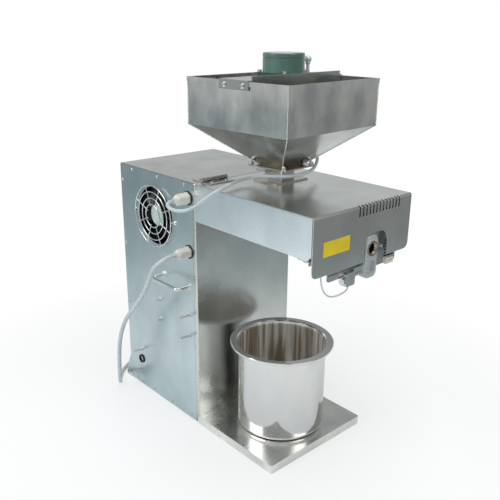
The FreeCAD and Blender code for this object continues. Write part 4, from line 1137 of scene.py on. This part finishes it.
@dataclass
class PressHead:
    """The press inside the arm, the arm's sheets and what shows in the cover's notch."""

    backing_low: Point = (0.2470, 0.0560, 0.3165)
    backing_high: Point = (0.2483, 0.0815, 0.3435)
    fold_low: Point = (0.2535, -0.1000, 0.3530)
    fold_high: Point = (0.2568, -0.0988, 0.4035)

    def edge_folds(self) -> None:
        """Put the folded edges on the front ends of the arm's side sheets."""
        (x0, y0, z0), (x1, y1, z1) = self.fold_low, self.fold_high
        folds = [((x0, y0, z0), (x1, y1, z1)), ((x0, -y1, z0), (x1, -y0, z1))]
        box_piece("arm_edge_folds", folds, "arm_sheet")

    def build(self) -> None:
        """Dress the press and the arm, and put a black pad behind the front plate's slots as painted shade.
        """
        dress("tool_steel", "feed_block", "press_cage", "slotted_ring_nut", "press_screw")
        dress("bright_bolt", "feed_block_bolts", "front_plate_bolts", "sensor_bar", "sensor_block",
              "front_lip_clip")
        dress("mica_band", "heater_band")
        dress("bronze", "cake_nozzle")
        dress("arm_sheet", "arm_side_near", "arm_side_far")
        dress("inner_plate", "arm_front_plate")
        dress("cast_grey", "front_casting")
        dress("cream_nylon", "cover_switch", "sensor_socket")
        dress("funnel_sheet", "oil_tray")
        # Painted shade: the black pad behind the front plate's slots stands in for the shade inside the arm.
        box_piece("slot_shade_pad", [(self.backing_low, self.backing_high)], "black_rubber")
        self.edge_folds()


@dataclass
class CoverHood:
    """The hinged cover with its hinges and the plain yellow sticker."""

    sticker_low: Point = (0.25902, -0.0805, 0.3500)
    sticker_high: Point = (0.25922, -0.0297, 0.3700)

    def build(self) -> None:
        """Dress the cover and its hinges, and lay the sticker on the cover's front."""
        dress("cover_sheet", "cover")
        dress("hinge_steel", "hinge_case_leaves", "hinge_cover_leaves")
        dress("bright_bolt", "hinge_pins")
        box_piece("yellow_sticker", [(self.sticker_low, self.sticker_high)], "yellow_film", Body.COVER)


@dataclass
class Hopper:
    """The hopper with its stand, bracket and agitator."""

    x: float = 0.0835
    y: float = 0.0165
    size: float = 0.193
    weld_top: float = 0.547
    shoulder: float = 0.487
    flange_top: float = 0.4285
    throat_half: float = 0.023
    yaw: float = math.radians(3.0)
    bead_radius: float = 0.0009
    bead_pitch: float = 0.0016

    def turned(self, dx: float, dy: float, z: float) -> Point:
        """A point given from the hopper's axis, turned with the hopper."""
        cos, sin = math.cos(self.yaw), math.sin(self.yaw)
        return (self.x + dx * cos - dy * sin, self.y + dx * sin + dy * cos, z)

    def welds(self) -> None:
        """Run weld beads down the four corners of the bin and the funnel."""
        points = []
        half, throat = self.size / 2, self.throat_half
        for sx, sy in ((1, 1), (1, -1), (-1, 1), (-1, -1)):
            top = self.turned(sx * half, sy * half, self.weld_top)
            corner = self.turned(sx * half, sy * half, self.shoulder)
            foot = self.turned(sx * throat, sy * throat, self.flange_top)
            for start, end in ((top, corner), (corner, foot)):
                first, last = Vector(start), Vector(end)
                count = max(1, round((last - first).length / self.bead_pitch))
                points += [tuple(first.lerp(last, index / count)) for index in range(count + 1)]
        up = [(0.0, 0.0, 1.0)] * len(points)
        weld_beads(self.bead_radius).piece("corner_welds", points, up, Body.COVER, smooth=True)

    def build(self) -> None:
        """Dress the hopper and add its welds."""
        dress("bin_sheet", "hopper_bin")
        dress("funnel_sheet", "hopper_funnel", "hopper_neck")
        dress("stand_plate", "hopper_flange", "hopper_seat")
        # The bracket's darker colour is partly painted shade.
        dress("dark_steel_and_painted_shade", "motor_bracket")
        dress("bright_bolt", "flange_bolts", "bracket_bolts", "agitator")
        self.welds()


@dataclass
class FeedMotor:
    """The green feed motor on the bracket."""

    def build(self) -> None:
        """Dress the motor."""
        dress("green_paint", "feed_motor")
        dress("green_dark", "feed_motor_flange")
        dress("bright_bolt", "feed_motor_bolts")
        dress("cast_grey", "feed_motor_elbow")


@dataclass
class OilPot:
    """The polished pot that stands on the base tray."""

    def build(self) -> None:
        """Dress the pot."""
        dress("pot_steel", "oil_pot")


def main() -> None:
    """Build the studio, the cords and every sub-assembly in order."""
    logging.basicConfig(level=logging.INFO, format="%(name)s: %(message)s")
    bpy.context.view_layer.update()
    for assembly in (Studio, Cords, Tower, Fan, PressHead, CoverHood, Hopper, FeedMotor, OilPot):
        assembly().build()
        log.info("%s done", assembly.__name__)


if __name__ == "__main__":
    main()
